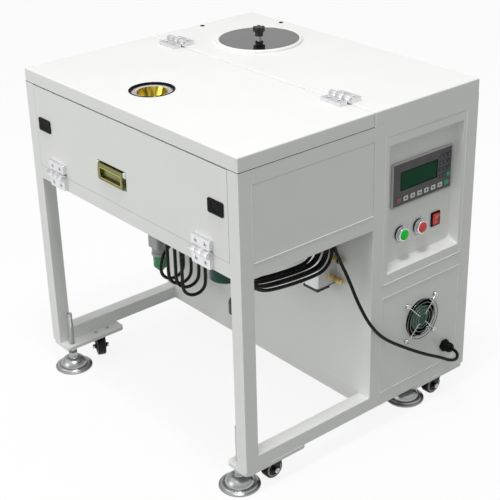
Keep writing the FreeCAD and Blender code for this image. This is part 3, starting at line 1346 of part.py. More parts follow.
def pull_pivot():
    return V(PULL_X, FRONT - PULL_PROUD + PULL_T / 2, PULL_Z + PULL_H / 2 - PULL_PIN_DROP)


def front_door():
    """Folded tray door with the pressed pocket and ears of the pull, and the latch cut-outs."""
    half = INNER - DOOR_GAP_SIDE
    top = DOOR_TOP
    tray = box(-half, half, FRONT, FRONT + DOOR_T, DOOR_BOTTOM, top)
    tray = tray.cut(box(-half + SHEET, half - SHEET, FRONT + SHEET, FRONT + DOOR_T,
                        DOOR_BOTTOM + SHEET, top - SHEET))
    x0, x1, z0, z1 = pocket_box(SHEET)
    well = box(x0, x1, FRONT, FRONT + POCKET_DEPTH + SHEET, z0, z1)
    x0, x1, z0, z1 = pocket_box(0)
    hollow = soft_box(x0, x1, FRONT, FRONT + POCKET_DEPTH, z0, z1, 3, Y_AXIS)
    door = tray.fuse(well).cut(hollow)
    pivot = pull_pivot()
    ears = []
    for side in (-1, 1):
        inner = PULL_X + side * (PULL_W / 2 + SLIDE_GAP)
        outer = inner + side * EAR_W
        ears.append(soft_box(min(inner, outer), max(inner, outer), FRONT - EAR_PROUD,
                             FRONT + POCKET_DEPTH, pivot.z - EAR_H / 2, pivot.z + EAR_H / 2 - 1, 2, X_AXIS))
    reach = PULL_W / 2 + EAR_W - 1.5
    pin_hole = rod(pivot - V(reach, 0, 0), pivot + V(reach, 0, 0), PULL_PIN_R + SHAFT_GAP)
    door = joined([door] + ears).cut(pin_hole)
    w, h = LATCH_W / 2 - LATCH_BODY_MARGIN, LATCH_H / 2 - LATCH_BODY_MARGIN
    cuts = []
    for side in SIDES.values():
        x = side * LATCH_X
        cuts.append(box(x - w, x + w, FRONT, FRONT + SHEET, LATCH_Z - h, LATCH_Z + h))
    return door.cut(cuts)


def latch_frames():
    """Push-latch bodies with a rounded flange, open in front for the button."""
    frames = []
    for side in SIDES.values():
        x = side * LATCH_X
        w, h = LATCH_W / 2, LATCH_H / 2
        flange = soft_box(x - w, x + w, FRONT - LATCH_FLANGE_T, FRONT, LATCH_Z - h, LATCH_Z + h,
                          LATCH_CORNER_R, Y_AXIS)
        w, h = w - LATCH_BODY_MARGIN, h - LATCH_BODY_MARGIN
        body = box(x - w, x + w, FRONT, FRONT + LATCH_BODY_DEPTH, LATCH_Z - h, LATCH_Z + h)
        w, h = LATCH_BUTTON_W / 2 + SLIDE_GAP, LATCH_BUTTON_H / 2 + SLIDE_GAP
        depth = LATCH_BUTTON_L + LATCH_TRAVEL + 1
        well = box(x - w, x + w, FRONT - LATCH_FLANGE_T, FRONT - LATCH_FLANGE_T + depth, LATCH_Z - h, LATCH_Z + h)
        frames.append(joined([flange, body]).cut(well))
    return Part.makeCompound(frames)


def latch_button(side):
    x = side * LATCH_X
    w, h = LATCH_BUTTON_W / 2, LATCH_BUTTON_H / 2
    y0 = FRONT - LATCH_FLANGE_T + 0.5
    return soft_box(x - w, x + w, y0, y0 + LATCH_BUTTON_L, LATCH_Z - h, LATCH_Z + h, 2, Y_AXIS)


def pull_handle():
    """Dished drop handle with two pivot pins."""
    x0, x1 = PULL_X - PULL_W / 2, PULL_X + PULL_W / 2
    z0, z1 = PULL_Z - PULL_H / 2, PULL_Z + PULL_H / 2
    y0, y1 = FRONT - PULL_PROUD, FRONT - PULL_PROUD + PULL_T
    plate = box(x0, x1, y0, y1, z0, z1)
    low = [e for e in plate.Edges if e.BoundBox.YLength > 1 and e.BoundBox.ZMax < PULL_Z]
    plate = plate.makeFillet(PULL_CORNER_R, low)
    dish = soft_box(x0 + PULL_RIM, x1 - PULL_RIM, y0, y0 + PULL_DISH, z0 + PULL_RIM, z1 - PULL_RIM - 4, 3, Y_AXIS)
    pivot = pull_pivot()
    reach = PULL_W / 2 + EAR_W - 2
    return joined([plate.cut(dish), rod(pivot - V(reach, 0, 0), pivot + V(reach, 0, 0), PULL_PIN_R)])


def all_nodes():
    nodes = {
        "frame_posts": frame_posts(),
        "frame_rails": frame_rails(),
        "foot_plates": foot_plates(),
        "rear_top_cover": rear_top_cover(),
        "side_panels": side_panels(),
        "cabinet_walls": cabinet_walls(),
        "fan_panel": fan_panel(),
        "control_panel": control_panel(),
        "deck_plates": deck_plates(),
        "hmi_housing": hmi_housing(),
        "hmi_screen": hmi_screen(),
        "button_collars": button_collars(),
        "rocker_frame": rocker_frame(),
        "fan_housing": fan_housing(),
        "fan_guard": fan_guard(),
        "cable_gland": cable_gland(),
        "power_cable": power_cable(),
        "power_cable_coil": power_cable_coil(),
        "power_plug": power_plug(),
        "cord_hangers": cord_hangers(),
        "air_filter": air_filter(),
        "air_filter_bowl": air_filter_bowl(),
        "air_hose": air_hose(),
        "valve_block": valve_block(),
        "brass_fittings": brass_fittings(),
        "air_reservoir": air_reservoir(),
        "hinge_fixed_leaves": hinge_leaves(("lid", "door"), False),
        "caster_swivel_plates": caster_swivel_plates(),
        "power_supply": power_supply(),
        "controller_module": controller_module(),
        "top_lid": top_lid(),
        "lid_hinge_leaves": hinge_leaves(("lid",), True),
        "reflector_trim": reflector_trim(),
        "reflector_ring": reflector_ring(),
        "heat_reflector": heat_reflector(),
        "heater_lamp": heater_lamp(),
        "hatch_cover": hatch_cover(),
        "star_knob": star_knob(),
        "front_door": front_door(),
        "door_hinge_leaves": hinge_leaves(("door",), True),
        "latch_frames": latch_frames(),
        "pull_handle": pull_handle(),
        "start_button": push_button(START_Y),
        "stop_button": push_button(STOP_Y),
        "rocker_paddle": rocker_paddle(),
        "fan_impeller": fan_impeller(),
    }
    for name, side in SIDES.items():
        nodes["latch_button_" + name] = latch_button(side)
    for name in foot_places():
        nodes["caster_fork_" + name] = caster_fork(name)
        nodes["caster_wheel_" + name] = caster_wheel(name)
        nodes["levelling_foot_" + name] = levelling_foot(name)
    return nodes


# The cabinet is drawn about its own middle; the origin is the middle of the footprint on the floor,
# because the front feet stand out past the front face
FOOTPRINT_SHIFT = V(0, (FOOT_R - FRONT_FOOT_IN_Y) / 2, 0)

os.makedirs("parts", exist_ok=True)
for node_name, node_shape in all_nodes().items():
    node_shape.translate(FOOTPRINT_SHIFT)
    node_shape.exportStep(f"parts/{node_name}.step")
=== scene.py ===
import bpy, bmesh, json, math
from mathutils import Matrix, Vector

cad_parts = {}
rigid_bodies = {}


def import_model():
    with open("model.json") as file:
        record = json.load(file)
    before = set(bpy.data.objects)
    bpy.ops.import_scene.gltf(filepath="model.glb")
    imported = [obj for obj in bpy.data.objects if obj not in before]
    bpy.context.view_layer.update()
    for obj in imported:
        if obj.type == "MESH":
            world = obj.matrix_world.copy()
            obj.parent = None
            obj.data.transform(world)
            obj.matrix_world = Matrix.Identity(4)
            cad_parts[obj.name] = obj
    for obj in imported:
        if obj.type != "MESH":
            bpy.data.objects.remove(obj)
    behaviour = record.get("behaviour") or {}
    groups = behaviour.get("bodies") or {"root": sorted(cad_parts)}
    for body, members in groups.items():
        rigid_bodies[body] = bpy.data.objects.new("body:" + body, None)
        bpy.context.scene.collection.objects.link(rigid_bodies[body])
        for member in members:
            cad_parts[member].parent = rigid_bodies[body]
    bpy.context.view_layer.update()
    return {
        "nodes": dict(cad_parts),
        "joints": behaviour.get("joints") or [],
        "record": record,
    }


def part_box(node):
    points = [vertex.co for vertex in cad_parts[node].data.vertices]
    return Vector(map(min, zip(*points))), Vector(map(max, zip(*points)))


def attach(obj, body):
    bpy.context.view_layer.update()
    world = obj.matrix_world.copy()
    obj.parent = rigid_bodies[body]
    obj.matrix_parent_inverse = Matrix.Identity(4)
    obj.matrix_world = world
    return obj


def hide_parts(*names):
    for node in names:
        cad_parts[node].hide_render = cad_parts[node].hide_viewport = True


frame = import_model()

NODES = frame["nodes"]
JOINTS = frame["joints"]
SHIFT_Y = 11.0             # the cabinet is drawn about its own middle, the origin is the middle of the feet
TOP_Z = 712.0              # top of the lid and of the rear cover
SIDE_X = 350.0             # side faces of the frame
UPWARDS, FRONTWARDS, RIGHTWARDS = Vector((0, 0, 1)), Vector((0, -1, 0)), Vector((1, 0, 0))
SIDES = ((-1, "l"), (1, "r"))
ENDS = ((-1, "a"), (1, "b"))
scene = bpy.context.scene
scene.view_settings.view_transform = "Standard"


def mm(x, y, z):
    """A point drawn in millimetres about the cabinet's middle, in metres in the row frame."""
    return Vector((x, y + SHIFT_Y, z)) / 1000


# ---------------------------------------------------------------- camera

AZIMUTH, ELEVATION, ROLL = math.radians(50.74), math.radians(26.08), math.radians(-1.51)
LENS, SENSOR = 87.37, 36                     # millimetres
DISTANCE, ASIDE, LOWER = 2.46, 0.0084, 0.3598    # metres, from the middle of the top
back = Vector((math.sin(AZIMUTH) * math.cos(ELEVATION), -math.cos(AZIMUTH) * math.cos(ELEVATION),
               math.sin(ELEVATION)))
right = Vector((math.cos(AZIMUTH), math.sin(AZIMUTH), 0))
up = back.cross(right)
right, up = (right * math.cos(ROLL) + up * math.sin(ROLL), up * math.cos(ROLL) - right * math.sin(ROLL))
camera = bpy.data.objects.new("camera", bpy.data.cameras.new("camera"))
camera.data.lens = LENS
camera.data.sensor_width = SENSOR
camera.data.clip_start, camera.data.clip_end = 0.05, 100
turn = Matrix((right, up, back)).transposed().to_4x4()
camera.matrix_world = Matrix.Translation(mm(0, 0, TOP_Z) + back * DISTANCE + right * ASIDE - up * LOWER) @ turn
scene.collection.objects.link(camera)
scene.camera = camera


# ---------------------------------------------------------------- materials

def link(tree, a, b):
    tree.links.new(a, b)


def node(tree, kind, **values):
    made = tree.nodes.new(kind)
    for key, value in values.items():
        if key in made.inputs:
            made.inputs[key].default_value = value
        else:
            setattr(made, key, value)
    return made


def new_material(name):
    made = bpy.data.materials.new(name)
    made.use_nodes = True
    tree = made.node_tree
    shader = tree.nodes["Principled BSDF"]
    place = node(tree, "ShaderNodeTexCoord").outputs["Object"]
    return made, tree, shader, place


def noise(tree, place, scale, detail=3.0, stretch=None):
    if stretch:
        mapping = node(tree, "ShaderNodeMapping", Scale=stretch)
        link(tree, place, mapping.inputs["Vector"])
        place = mapping.outputs["Vector"]
    made = node(tree, "ShaderNodeTexNoise", Scale=scale, Detail=detail)
    link(tree, place, made.inputs["Vector"])
    return made.outputs["Fac"]


def bands(tree, place, axis, scale=180.0):
    made = node(tree, "ShaderNodeTexWave", Scale=scale, wave_type="BANDS", bands_direction=axis)
    link(tree, place, made.inputs["Vector"])
    return made.outputs["Fac"]


def spread(tree, factor, low, high, start=0.25, end=0.75):
    """Stretches the range from start to end over the range from low to high."""
    made = node(tree, "ShaderNodeMapRange")
    for key, value in (("From Min", start), ("From Max", end), ("To Min", low), ("To Max", high)):
        made.inputs[key].default_value = value
    link(tree, factor, made.inputs["Value"])
    return made.outputs["Result"]


def mix_colour(tree, factor, a, b):
    made = node(tree, "ShaderNodeMix", data_type="RGBA")
    link(tree, factor, made.inputs["Factor"])
    for socket, value in ((made.inputs["A"], a), (made.inputs["B"], b)):
        if isinstance(value, tuple):
            socket.default_value = (*value, 1)
        else:
            link(tree, value, socket)
    return made.outputs["Result"]


def maths(tree, operation, a, b=0.0):
    made = node(tree, "ShaderNodeMath", operation=operation)
    for i, value in enumerate((a, b)):
        if isinstance(value, (int, float)):
            made.inputs[i].default_value = value
        else:
            link(tree, value, made.inputs[i])
    return made.outputs["Value"]


def part_of(tree, place, axis):
    split = node(tree, "ShaderNodeSeparateXYZ")
    link(tree, place, split.inputs["Vector"])
    return split.outputs[axis]


def radius_from(tree, place, centre):
    """Distance from an upright axis through the centre."""
    flat = node(tree, "ShaderNodeVectorMath", operation="MULTIPLY")
    link(tree, place, flat.inputs[0])
    flat.inputs[1].default_value = (1, 1, 0)
    far = node(tree, "ShaderNodeVectorMath", operation="DISTANCE")
    link(tree, flat.outputs["Vector"], far.inputs[0])
    far.inputs[1].default_value = (centre[0], centre[1], 0)
    return far.outputs["Value"]


def bump(tree, shader, height, strength, distance):
    made = node(tree, "ShaderNodeBump", Strength=strength, Distance=distance)
    link(tree, height, made.inputs["Height"])
    link(tree, made.outputs["Normal"], shader.inputs["Normal"])


def shade(colour, factor):
    return tuple(min(1.0, c * factor) for c in colour)


def surface(name, colour, rough, metal=0.0, mottle=(18, 0.03), grain=(900, 0.15, 0.00004), wander=0.06,
            stretch=None, **sockets):
    """Mottled colour, uneven gloss and a fine grain, with plain values straight on the shader.

    mottle is the scale and depth of the colour patches, grain the scale, strength and height of the bump."""
    made, tree, shader, place = new_material(name)
    patches = noise(tree, place, mottle[0], 4.0)
    tone = mix_colour(tree, spread(tree, patches, 0, 1), shade(colour, 1 - mottle[1]), shade(colour, 1 + mottle[1]))
    link(tree, tone, shader.inputs["Base Color"])
    fine = noise(tree, place, grain[0], 2.0, stretch)
    gloss = noise(tree, place, mottle[0] * 3, 3.0, stretch)
    link(tree, spread(tree, gloss, max(0.01, rough - wander), rough + wander), shader.inputs["Roughness"])
    bump(tree, shader, fine, grain[1], grain[2])
    shader.inputs["Metallic"].default_value = metal
    for key, value in sockets.items():
        shader.inputs[key.replace("_", " ")].default_value = value
    return made


def fine_grain(tree, place):
    return noise(tree, place, 900, 2.0), 0.1, 0.00004


def two_tone(name, pick, first, second, relief=fine_grain):
    """Two finishes on one piece, told apart by where the surface is: pick gives 0 or 1.

    A finish is its colour, roughness and metallic value; relief gives the height, strength and distance of the bump."""
    made, tree, shader, place = new_material(name)
    factor = pick(tree, place)
    patches = spread(tree, noise(tree, place, 20, 4.0), 0, 1)
    tones = [mix_colour(tree, patches, shade(c, 0.96), shade(c, 1.04)) for c in (first[0], second[0])]
    link(tree, mix_colour(tree, factor, *tones), shader.inputs["Base Color"])
    gloss = noise(tree, place, 70, 3.0)
    roughs = [spread(tree, gloss, max(0.01, f[1] - 0.04), f[1] + 0.04) for f in (first, second)]
    step = maths(tree, "SUBTRACT", roughs[1], roughs[0])
    link(tree, maths(tree, "ADD", roughs[0], maths(tree, "MULTIPLY", step, factor)), shader.inputs["Roughness"])
    metal = maths(tree, "ADD", first[2], maths(tree, "MULTIPLY", factor, second[2] - first[2]))
    link(tree, metal, shader.inputs["Metallic"])
    bump(tree, shader, *relief(tree, place))
    return made


WHITE = (0.86, 0.866, 0.846)
BLACK = (0.012, 0.012, 0.013)
CHROME = (0.66, 0.665, 0.68)
ZINC = (0.55, 0.56, 0.57)
ALLOY = (0.62, 0.63, 0.64)

paint = surface("powder_coat", WHITE, 0.42, mottle=(7, 0.012), grain=(420, 0.22, 0.00006), wander=0.07)
weld = surface("painted_weld", shade(WHITE, 0.97), 0.45, 0, (60, 0.04), (300, 0.3, 0.0001))
label_white = surface("label_strip", (0.94, 0.94, 0.93), 0.3, 0, (90, 0.03), (1500, 0.15, 0.00003))

hinge_metal = surface("cast_satin_metal", (0.80, 0.80, 0.82), 0.38, 1.0, (60, 0.06), (1300, 0.3, 0.00006), 0.08)
chrome = surface("chrome_plate", CHROME, 0.09, 1.0, (30, 0.04), (300, 0.04, 0.00003), 0.04)
zinc = surface("zinc_plate", ZINC, 0.34, 1.0, (90, 0.12), (900, 0.25, 0.00005), 0.1)
brass = surface("machined_brass", (0.60, 0.44, 0.19), 0.30, 1.0, (80, 0.1), (700, 0.2, 0.00004))
# the door pull's brass, painted dark olive as a painted dark reflection; its bright edge is the separate bright brass
# rim
pull_brass = surface("lacquered_brass", (0.20, 0.215, 0.075), 0.26, 1.0, (50, 0.2), (600, 0.25, 0.00005), 0.1)
supply_case = surface("supply_case", (0.6, 0.61, 0.62), 0.36, 1.0, (40, 0.06), (600, 0.2, 0.00005),
                      stretch=(1, 30, 30))

black_plastic = surface("black_plastic", (0.004, 0.004, 0.0045), 0.5, 0, (40, 0.15), (1500, 0.25, 0.00004),
                        Specular_IOR_Level=0.09)
fan_plastic = surface("fan_plastic", (0.005, 0.010, 0.008), 0.4, 0, (40, 0.2), (1200, 0.2, 0.00004),
                      Specular_IOR_Level=0.2)
fan_cap = surface("fan_cap_green", (0.004, 0.13, 0.065), 0.18, 0, (60, 0.25), (500, 0.2, 0.00005),
                  Specular_IOR_Level=0.3)
fork_black = surface("black_enamel", (0.006, 0.006, 0.007), 0.3, 0, (50, 0.2), (700, 0.2, 0.00006),
                     Specular_IOR_Level=0.2)
jacket = surface("lead_jacket", (0.005, 0.005, 0.006), 0.3, 0, (60, 0.2), (1600, 0.3, 0.00004),
                 Specular_IOR_Level=0.16)
hose_skin = surface("hose_black", (0.004, 0.004, 0.005), 0.14, 0, (40, 0.2), (500, 0.1, 0.00004),
                    Specular_IOR_Level=0.25)
rubber = surface("wheel_rubber", (0.012, 0.012, 0.012), 0.5, 0, (70, 0.2), (800, 0.35, 0.00008),
                 Specular_IOR_Level=0.25)
wheel_band = surface("wheel_band", (0.38, 0.37, 0.34), 0.5, 0, (70, 0.1), (900, 0.2, 0.00005))

filter_grey = surface("filter_head", (0.42, 0.45, 0.45), 0.45, 0, (60, 0.06), (1100, 0.2, 0.00004))
tank_green = surface("tank_enamel", (0.006, 0.062, 0.045), 0.24, 0, (25, 0.3), (300, 0.15, 0.00006),
                     Specular_IOR_Level=0.25)
blue_ring = surface("fitting_blue", (0.02, 0.12, 0.42), 0.3, 0, (80, 0.08), (900, 0.15, 0.00003))
module_case = surface("module_case", (0.62, 0.63, 0.62), 0.5, 0, (40, 0.05), (1000, 0.2, 0.00005))
bowl = surface("bowl_green", (0.05, 0.46, 0.17), 0.1, 0, (30, 0.08), (300, 0.05, 0.00004), 0.04,
               Transmission_Weight=0.45, IOR=1.49)
lamp_glass = surface("lamp_glass", (0.55, 0.46, 0.36), 0.08, 0, (60, 0.1), (300, 0.05, 0.00004), 0.03,
                     Transmission_Weight=0.6, IOR=1.46)

display_grey = surface("display_case", (0.108, 0.105, 0.109), 0.5, 0, (60, 0.08), (1800, 0.3, 0.00004),
                       Specular_IOR_Level=0.3)
rim_silver = surface("display_rim", (0.50, 0.48, 0.47), 0.4, 0.0, (60, 0.06), (1500, 0.2, 0.00003))
green_cap = surface("green_cap", (0.001, 0.72, 0.04), 0.3, 0, (60, 0.1), (500, 0.1, 0.00004), Specular_IOR_Level=0.25)
red_cap = surface("red_cap", (0.86, 0.075, 0.07), 0.3, 0, (60, 0.1), (500, 0.1, 0.00004), Specular_IOR_Level=0.25)
key_blue = surface("number_key", (0.012, 0.026, 0.045), 0.42, 0, (80, 0.1), (1500, 0.2, 0.00003))
key_white = surface("key_white", (0.72, 0.73, 0.72), 0.4, 0, (80, 0.04), (1500, 0.2, 0.00003))
key_green = surface("key_green", (0.012, 0.36, 0.16), 0.4, 0, (80, 0.08), (1500, 0.2, 0.00003))
key_red = surface("key_red", (0.30, 0.07, 0.06), 0.4, 0, (80, 0.08), (1500, 0.2, 0.00003))
key_sign = surface("key_sign", (0.16, 0.20, 0.23), 0.45, 0, (80, 0.04), (1500, 0.2, 0.00003))


def gold_cone():
    """Spun gold mirror with painted reflections: dark and bright streaks in its colour run from the rim to the throat.
    """
    made, tree, shader, place = new_material("gold_reflector")
    lo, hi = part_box("heat_reflector")
    x = maths(tree, "SUBTRACT", part_of(tree, place, "X"), (lo.x + hi.x) / 2)
    y = maths(tree, "SUBTRACT", part_of(tree, place, "Y"), (lo.y + hi.y) / 2)
    angle = maths(tree, "ARCTAN2", y, x)
    ray = node(tree, "ShaderNodeCombineXYZ")
    link(tree, angle, ray.inputs["X"])
    link(tree, maths(tree, "MULTIPLY", part_of(tree, place, "Z"), 8.0), ray.inputs["Y"])
    reflection_streak = noise(tree, ray.outputs["Vector"], 2.6, 2.0)
    fine = noise(tree, ray.outputs["Vector"], 16, 2.0)
    # painted reflections: the colour swings between dark and bright gold along the streaks
    tone = mix_colour(tree, spread(tree, reflection_streak, 0, 1, 0.42, 0.60), (0.17, 0.12, 0.006), (0.90, 0.66, 0.09))
    link(tree, tone, shader.inputs["Base Color"])
    link(tree, spread(tree, fine, 0.18, 0.06), shader.inputs["Roughness"])
    shader.inputs["Metallic"].default_value = 1.0
    bump(tree, shader, fine, 0.25, 0.0004)
    return made


def sparkle_ring():
    """Silver ring broken up into small facets: the bump and roughness make real relief, the brighter facets in its
    colour are painted glints.
    """
    made, tree, shader, place = new_material("silver_ring")
    cells = node(tree, "ShaderNodeTexVoronoi", Scale=700.0)
    link(tree, place, cells.inputs["Vector"])
    # painted glints: brighter colour towards the edges of the cells
    tone = mix_colour(tree, cells.outputs["Distance"], ALLOY, (0.93, 0.93, 0.94))
    link(tree, tone, shader.inputs["Base Color"])
    link(tree, spread(tree, cells.outputs["Distance"], 0.16, 0.4, 0, 1), shader.inputs["Roughness"])
    shader.inputs["Metallic"].default_value = 1.0
    bump(tree, shader, cells.outputs["Distance"], 0.5, 0.0002)
    return made


def display_glass():
    """Dark green liquid crystal behind a clear front: faint rows of unlit dots."""
    made, tree, shader, place = new_material("display_glass")
    dots = maths(tree, "MULTIPLY", bands(tree, place, "Z"), bands(tree, place, "Y"))
    fog = mix_colour(tree, noise(tree, place, 30, 2.0), (0.000, 0.060, 0.019), (0.001, 0.076, 0.026))
    link(tree, mix_colour(tree, maths(tree, "MULTIPLY", dots, 0.5), fog, (0.003, 0.090, 0.034)),
         shader.inputs["Base Color"])
    link(tree, spread(tree, noise(tree, place, 60, 3.0), 0.16, 0.26), shader.inputs["Roughness"])
    shader.inputs["Specular IOR Level"].default_value = 0.06
    return made


# pieces in two finishes; these are the places, in metres, where one finish ends
MIRROR_R = 0.0885          # polished disc of the hatch, inside its white rim
COLLAR_FRONT = 0.0085      # chromed front of a button collar, black behind it
VALVE_FOOT, VALVE_HEAD = 0.0052, 0.0395    # black ends of the valve block
KNOB_HEAD = 0.0208         # black head of the star knob, above its stem
PLUG_PINS = 0.0188         # pins of the plug, below its black body
FOOT_BASE = 0.0062         # duller base of a levelling foot
THREAD_START = 0.0395      # thread of a levelling foot
ARM_HALF = 0.0016          # half width of the bright arms of the fan guard


def below(axis, level):
    return lambda tree, place: maths(tree, "LESS_THAN", part_of(tree, place, axis), level)


hatch_lo, hatch_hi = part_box("hatch_cover")
hatch_mid = (hatch_lo + hatch_hi) / 2
valve_lo, valve_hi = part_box("valve_block")
guard_lo, guard_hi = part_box("fan_guard")
guard_mid = (guard_lo + guard_hi) / 2


def outside_mirror(tree, place):
    return maths(tree, "GREATER_THAN", radius_from(tree, place, hatch_mid), MIRROR_R)


def valve_black(tree, place):
    low = maths(tree, "LESS_THAN", part_of(tree, place, "Z"), valve_lo.z + VALVE_FOOT)
    high = maths(tree, "GREATER_THAN", part_of(tree, place, "Z"), valve_hi.z - VALVE_HEAD)
    return maths(tree, "MAXIMUM", low, high)


def on_arm(tree, place):
    """The guard's arms lie on the diagonals."""
    y = maths(tree, "ABSOLUTE", maths(tree, "SUBTRACT", part_of(tree, place, "Y"), guard_mid.y))
    z = maths(tree, "ABSOLUTE", maths(tree, "SUBTRACT", part_of(tree, place, "Z"), guard_mid.z))
    return maths(tree, "LESS_THAN", maths(tree, "ABSOLUTE", maths(tree, "SUBTRACT", y, z)), ARM_HALF)


def rod_thread(tree, place):
    on_rod = maths(tree, "GREATER_THAN", part_of(tree, place, "Z"), THREAD_START)
    return maths(tree, "MULTIPLY", bands(tree, place, "Z"), on_rod), 0.9, 0.0006


hatch_finish = two_tone("mirror_disc_in_white_rim", outside_mirror, ((0.30, 0.295, 0.295), 0.05, 1.0),
                        (WHITE, 0.4, 0.0))
collar_finish = two_tone("button_collar", below("X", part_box("button_collars")[1].x - COLLAR_FRONT),
                         (CHROME, 0.12, 1.0), (BLACK, 0.4, 0.0))
valve_finish = two_tone("valve_alloy", valve_black, (ALLOY, 0.34, 1.0), (BLACK, 0.4, 0.0))
knob_finish = two_tone("star_knob", below("Z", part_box("star_knob")[1].z - KNOB_HEAD),
                       (BLACK, 0.36, 0.0), (CHROME, 0.15, 1.0))
plug_finish = two_tone("power_plug", below("Z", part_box("power_plug")[0].z + PLUG_PINS),
                       (BLACK, 0.4, 0.0), ((0.78, 0.6, 0.3), 0.2, 1.0))
foot_finish = two_tone("levelling_foot", below("Z", FOOT_BASE), ((0.46, 0.465, 0.47), 0.31, 1.0),
                       ((0.34, 0.335, 0.335), 0.42, 1.0), rod_thread)
guard_finish = two_tone("guard_wire", on_arm, ((0.14, 0.145, 0.15), 0.16, 1.0), ((0.72, 0.72, 0.73), 0.2, 1.0))

FINISH = {
    "white_paint": paint, "hinge_metal": hinge_metal, "polished_steel": hatch_finish, "chrome_plate": chrome,
    "zinc_steel": zinc, "black_plastic": black_plastic, "fan_plastic": fan_plastic, "cord_jacket": jacket,
    "hose_black": hose_skin, "brass_bright": brass, "pull_brass": pull_brass, "gold_reflector": gold_cone(),
    "bowl_green": bowl, "filter_grey": filter_grey, "valve_alloy": valve_finish, "tank_green": tank_green,
    "display_grey": display_grey, "display_glass": display_glass(), "button_green": green_cap,
    "button_red": red_cap, "wheel_rubber": rubber, "module_case": module_case, "supply_case": supply_case,
    "lamp_glass": lamp_glass, "fork_black": fork_black,
}
FEET = tuple(f"levelling_foot_{end}_{side}" for end in ("front", "rear") for side in ("left", "right"))
BY_NODE = {"reflector_ring": sparkle_ring(), "button_collars": collar_finish, "star_knob": knob_finish,
           "power_plug": plug_finish, "fan_guard": guard_finish, **dict.fromkeys(FEET, foot_finish)}
# widths of the rounded edges, in millimetres
BEVEL = {"frame_posts": 0.5, "frame_rails": 0.5, "foot_plates": 0.8, "front_door": 0.6, "hinge_fixed_leaves": 0.5,
         "lid_hinge_leaves": 0.5, "door_hinge_leaves": 0.5, "latch_frames": 0.6, "latch_button_left": 0.7,
         "latch_button_right": 0.7, "pull_handle": 0.8, "hmi_housing": 0.25, "valve_block": 0.6, "air_filter": 0.8,
         "rocker_frame": 0.4, "cable_gland": 0.5, "control_panel": 0.5, "power_supply": 0.5, "controller_module": 0.6,
         "deck_plates": 0.5, "caster_swivel_plates": 0.3, **dict.fromkeys(FEET, 0.4)}
for part in frame["record"]["subparts"]:
    name = part["node"]
    cad = NODES[name]
    cad.data.materials.clear()
    cad.data.materials.append(BY_NODE.get(name, FINISH[part["material_slot"]]))
    if name in BEVEL:
        joined = cad.modifiers.new("weld", "WELD")
        joined.merge_threshold = 0.00001
        edge = cad.modifiers.new("edge", "BEVEL")
        edge.width = BEVEL[name] / 1000
        edge.segments = 2
        edge.limit_method = "ANGLE"
        edge.angle_limit = math.radians(50)
        edge.harden_normals = True


# ---------------------------------------------------------------- cords

def cord_curve(name, points, radius, finish, body):
    data = bpy.data.curves.new(name, "CURVE")
    data.dimensions = "3D"
    spline = data.splines.new("NURBS")
    spline.points.add(len(points) - 1)
    for target, point in zip(spline.points, points):
        target.co = (*point, 1)
    spline.order_u = 3
    spline.use_endpoint_u = True
    spline.resolution_u = 6
    data.bevel_depth = radius
    data.bevel_resolution = 5
    data.use_fill_caps = True
    data.materials.append(finish)
    made = bpy.data.objects.new(name, data)
    scene.collection.objects.link(made)
    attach(made, body)
    return made


OUT = 1.018                # a smooth line runs inside its points, so round bends are drawn larger by this factor
LEAD_ROUTE = ((373.7, 243, 130), (389, 243, 130), (400, 232, 122), (400, 211, 125), (394, 184, 142), (387, 146, 161),
              (376, 98, 190), (365, 40, 230), (357, 7, 273), (339, -9, 323), (320, -17, 372), (311, -27, 402))
LEAD_TAIL = (0.009, 0.018, 0.026)    # points below the last turn, down to the plug
COIL_MID_Y, COIL_TOP_Z, COIL_SIDE_Z, COIL_PITCH, COIL_START_X = -145.0, 486.0, 435.0, 8.5, 309.0
COIL_REACH = (104, 104, 99, 103, 96, 101, 94, 98)
COIL_BOTTOM_Z = (397, 402, 400, 404, 402, 403, 403)
COIL_FLAT = 0.3            # 1 gives ellipses, 0 gives straight tops and bottoms between round ends
COIL_LEAN = 15.4           # lower half of each turn: the front hangs up to half of this higher, the back lower
TURN_STEPS = 16            # points in a turn
COIL_STEPS = TURN_STEPS * 6 + TURN_STEPS // 2


def fuller(value, power):
    return math.copysign(abs(value) ** power, value)


def clamped(values, i):
    return values[min(i, len(values) - 1)]


def coil_points():
    """Turns of the lead over its peg: wide flat loops, each a little different, stepping inwards."""
    made = []
    for i in range(COIL_STEPS + 1):
        turns = i / TURN_STEPS
        c, s = math.cos(2 * math.pi * turns), math.sin(2 * math.pi * turns)
        reach = clamped(COIL_REACH, int(turns + 0.25) + (c < 0))
        half = COIL_TOP_Z - COIL_SIDE_Z if s >= 0 else COIL_SIDE_Z - clamped(COIL_BOTTOM_Z, int(turns))
        lean = COIL_LEAN * c * min(0.0, s)
        made.append(mm(COIL_START_X - COIL_PITCH * turns,
                       COIL_MID_Y + (reach - half) * fuller(c, COIL_FLAT) + half * c,
                       COIL_SIDE_Z + half * OUT * s + lean))
    return made


lead_points = [mm(*p) for p in LEAD_ROUTE] + coil_points()
lead_points += [lead_points[-1] - Vector((0, 0, d)) for d in LEAD_TAIL]
lead = cord_curve("power_lead", lead_points, 0.0035, jacket, "cabinet")
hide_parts("power_cable", "power_cable_coil")

HOSE_START = ((-263, -35.7, 250), (-253, -35.7, 250), (-243, -40, 250), (-237, -53, 248), (-234, -67, 239),
              (-233, -76, 222))
HOSE_END = ((-135, -24, 302), (-132, -24.5, 332), (-124, -27, 365), (-112, -31, 400), (-102, -35, 435),
            (-97, -36.7, 462), (-96, -36.7, 477), (-96, -36.7, 487))
HOSE_MID_Y, HOSE_HALF_W, HOSE_SIDE_Z, HOSE_TOP_Z = -50.7, 27.0, 275.0, 367.0
HOSE_LOOPS = (-226.0, -196.0, -167.0, -143.0)
HOSE_BOTTOM_Z = (174.0, 172.0, 174.0, 163.0)
HOSE_DRIFT = 7.0           # from the middle of a loop sideways to each of its legs
HALF_TURN_STEPS = 6


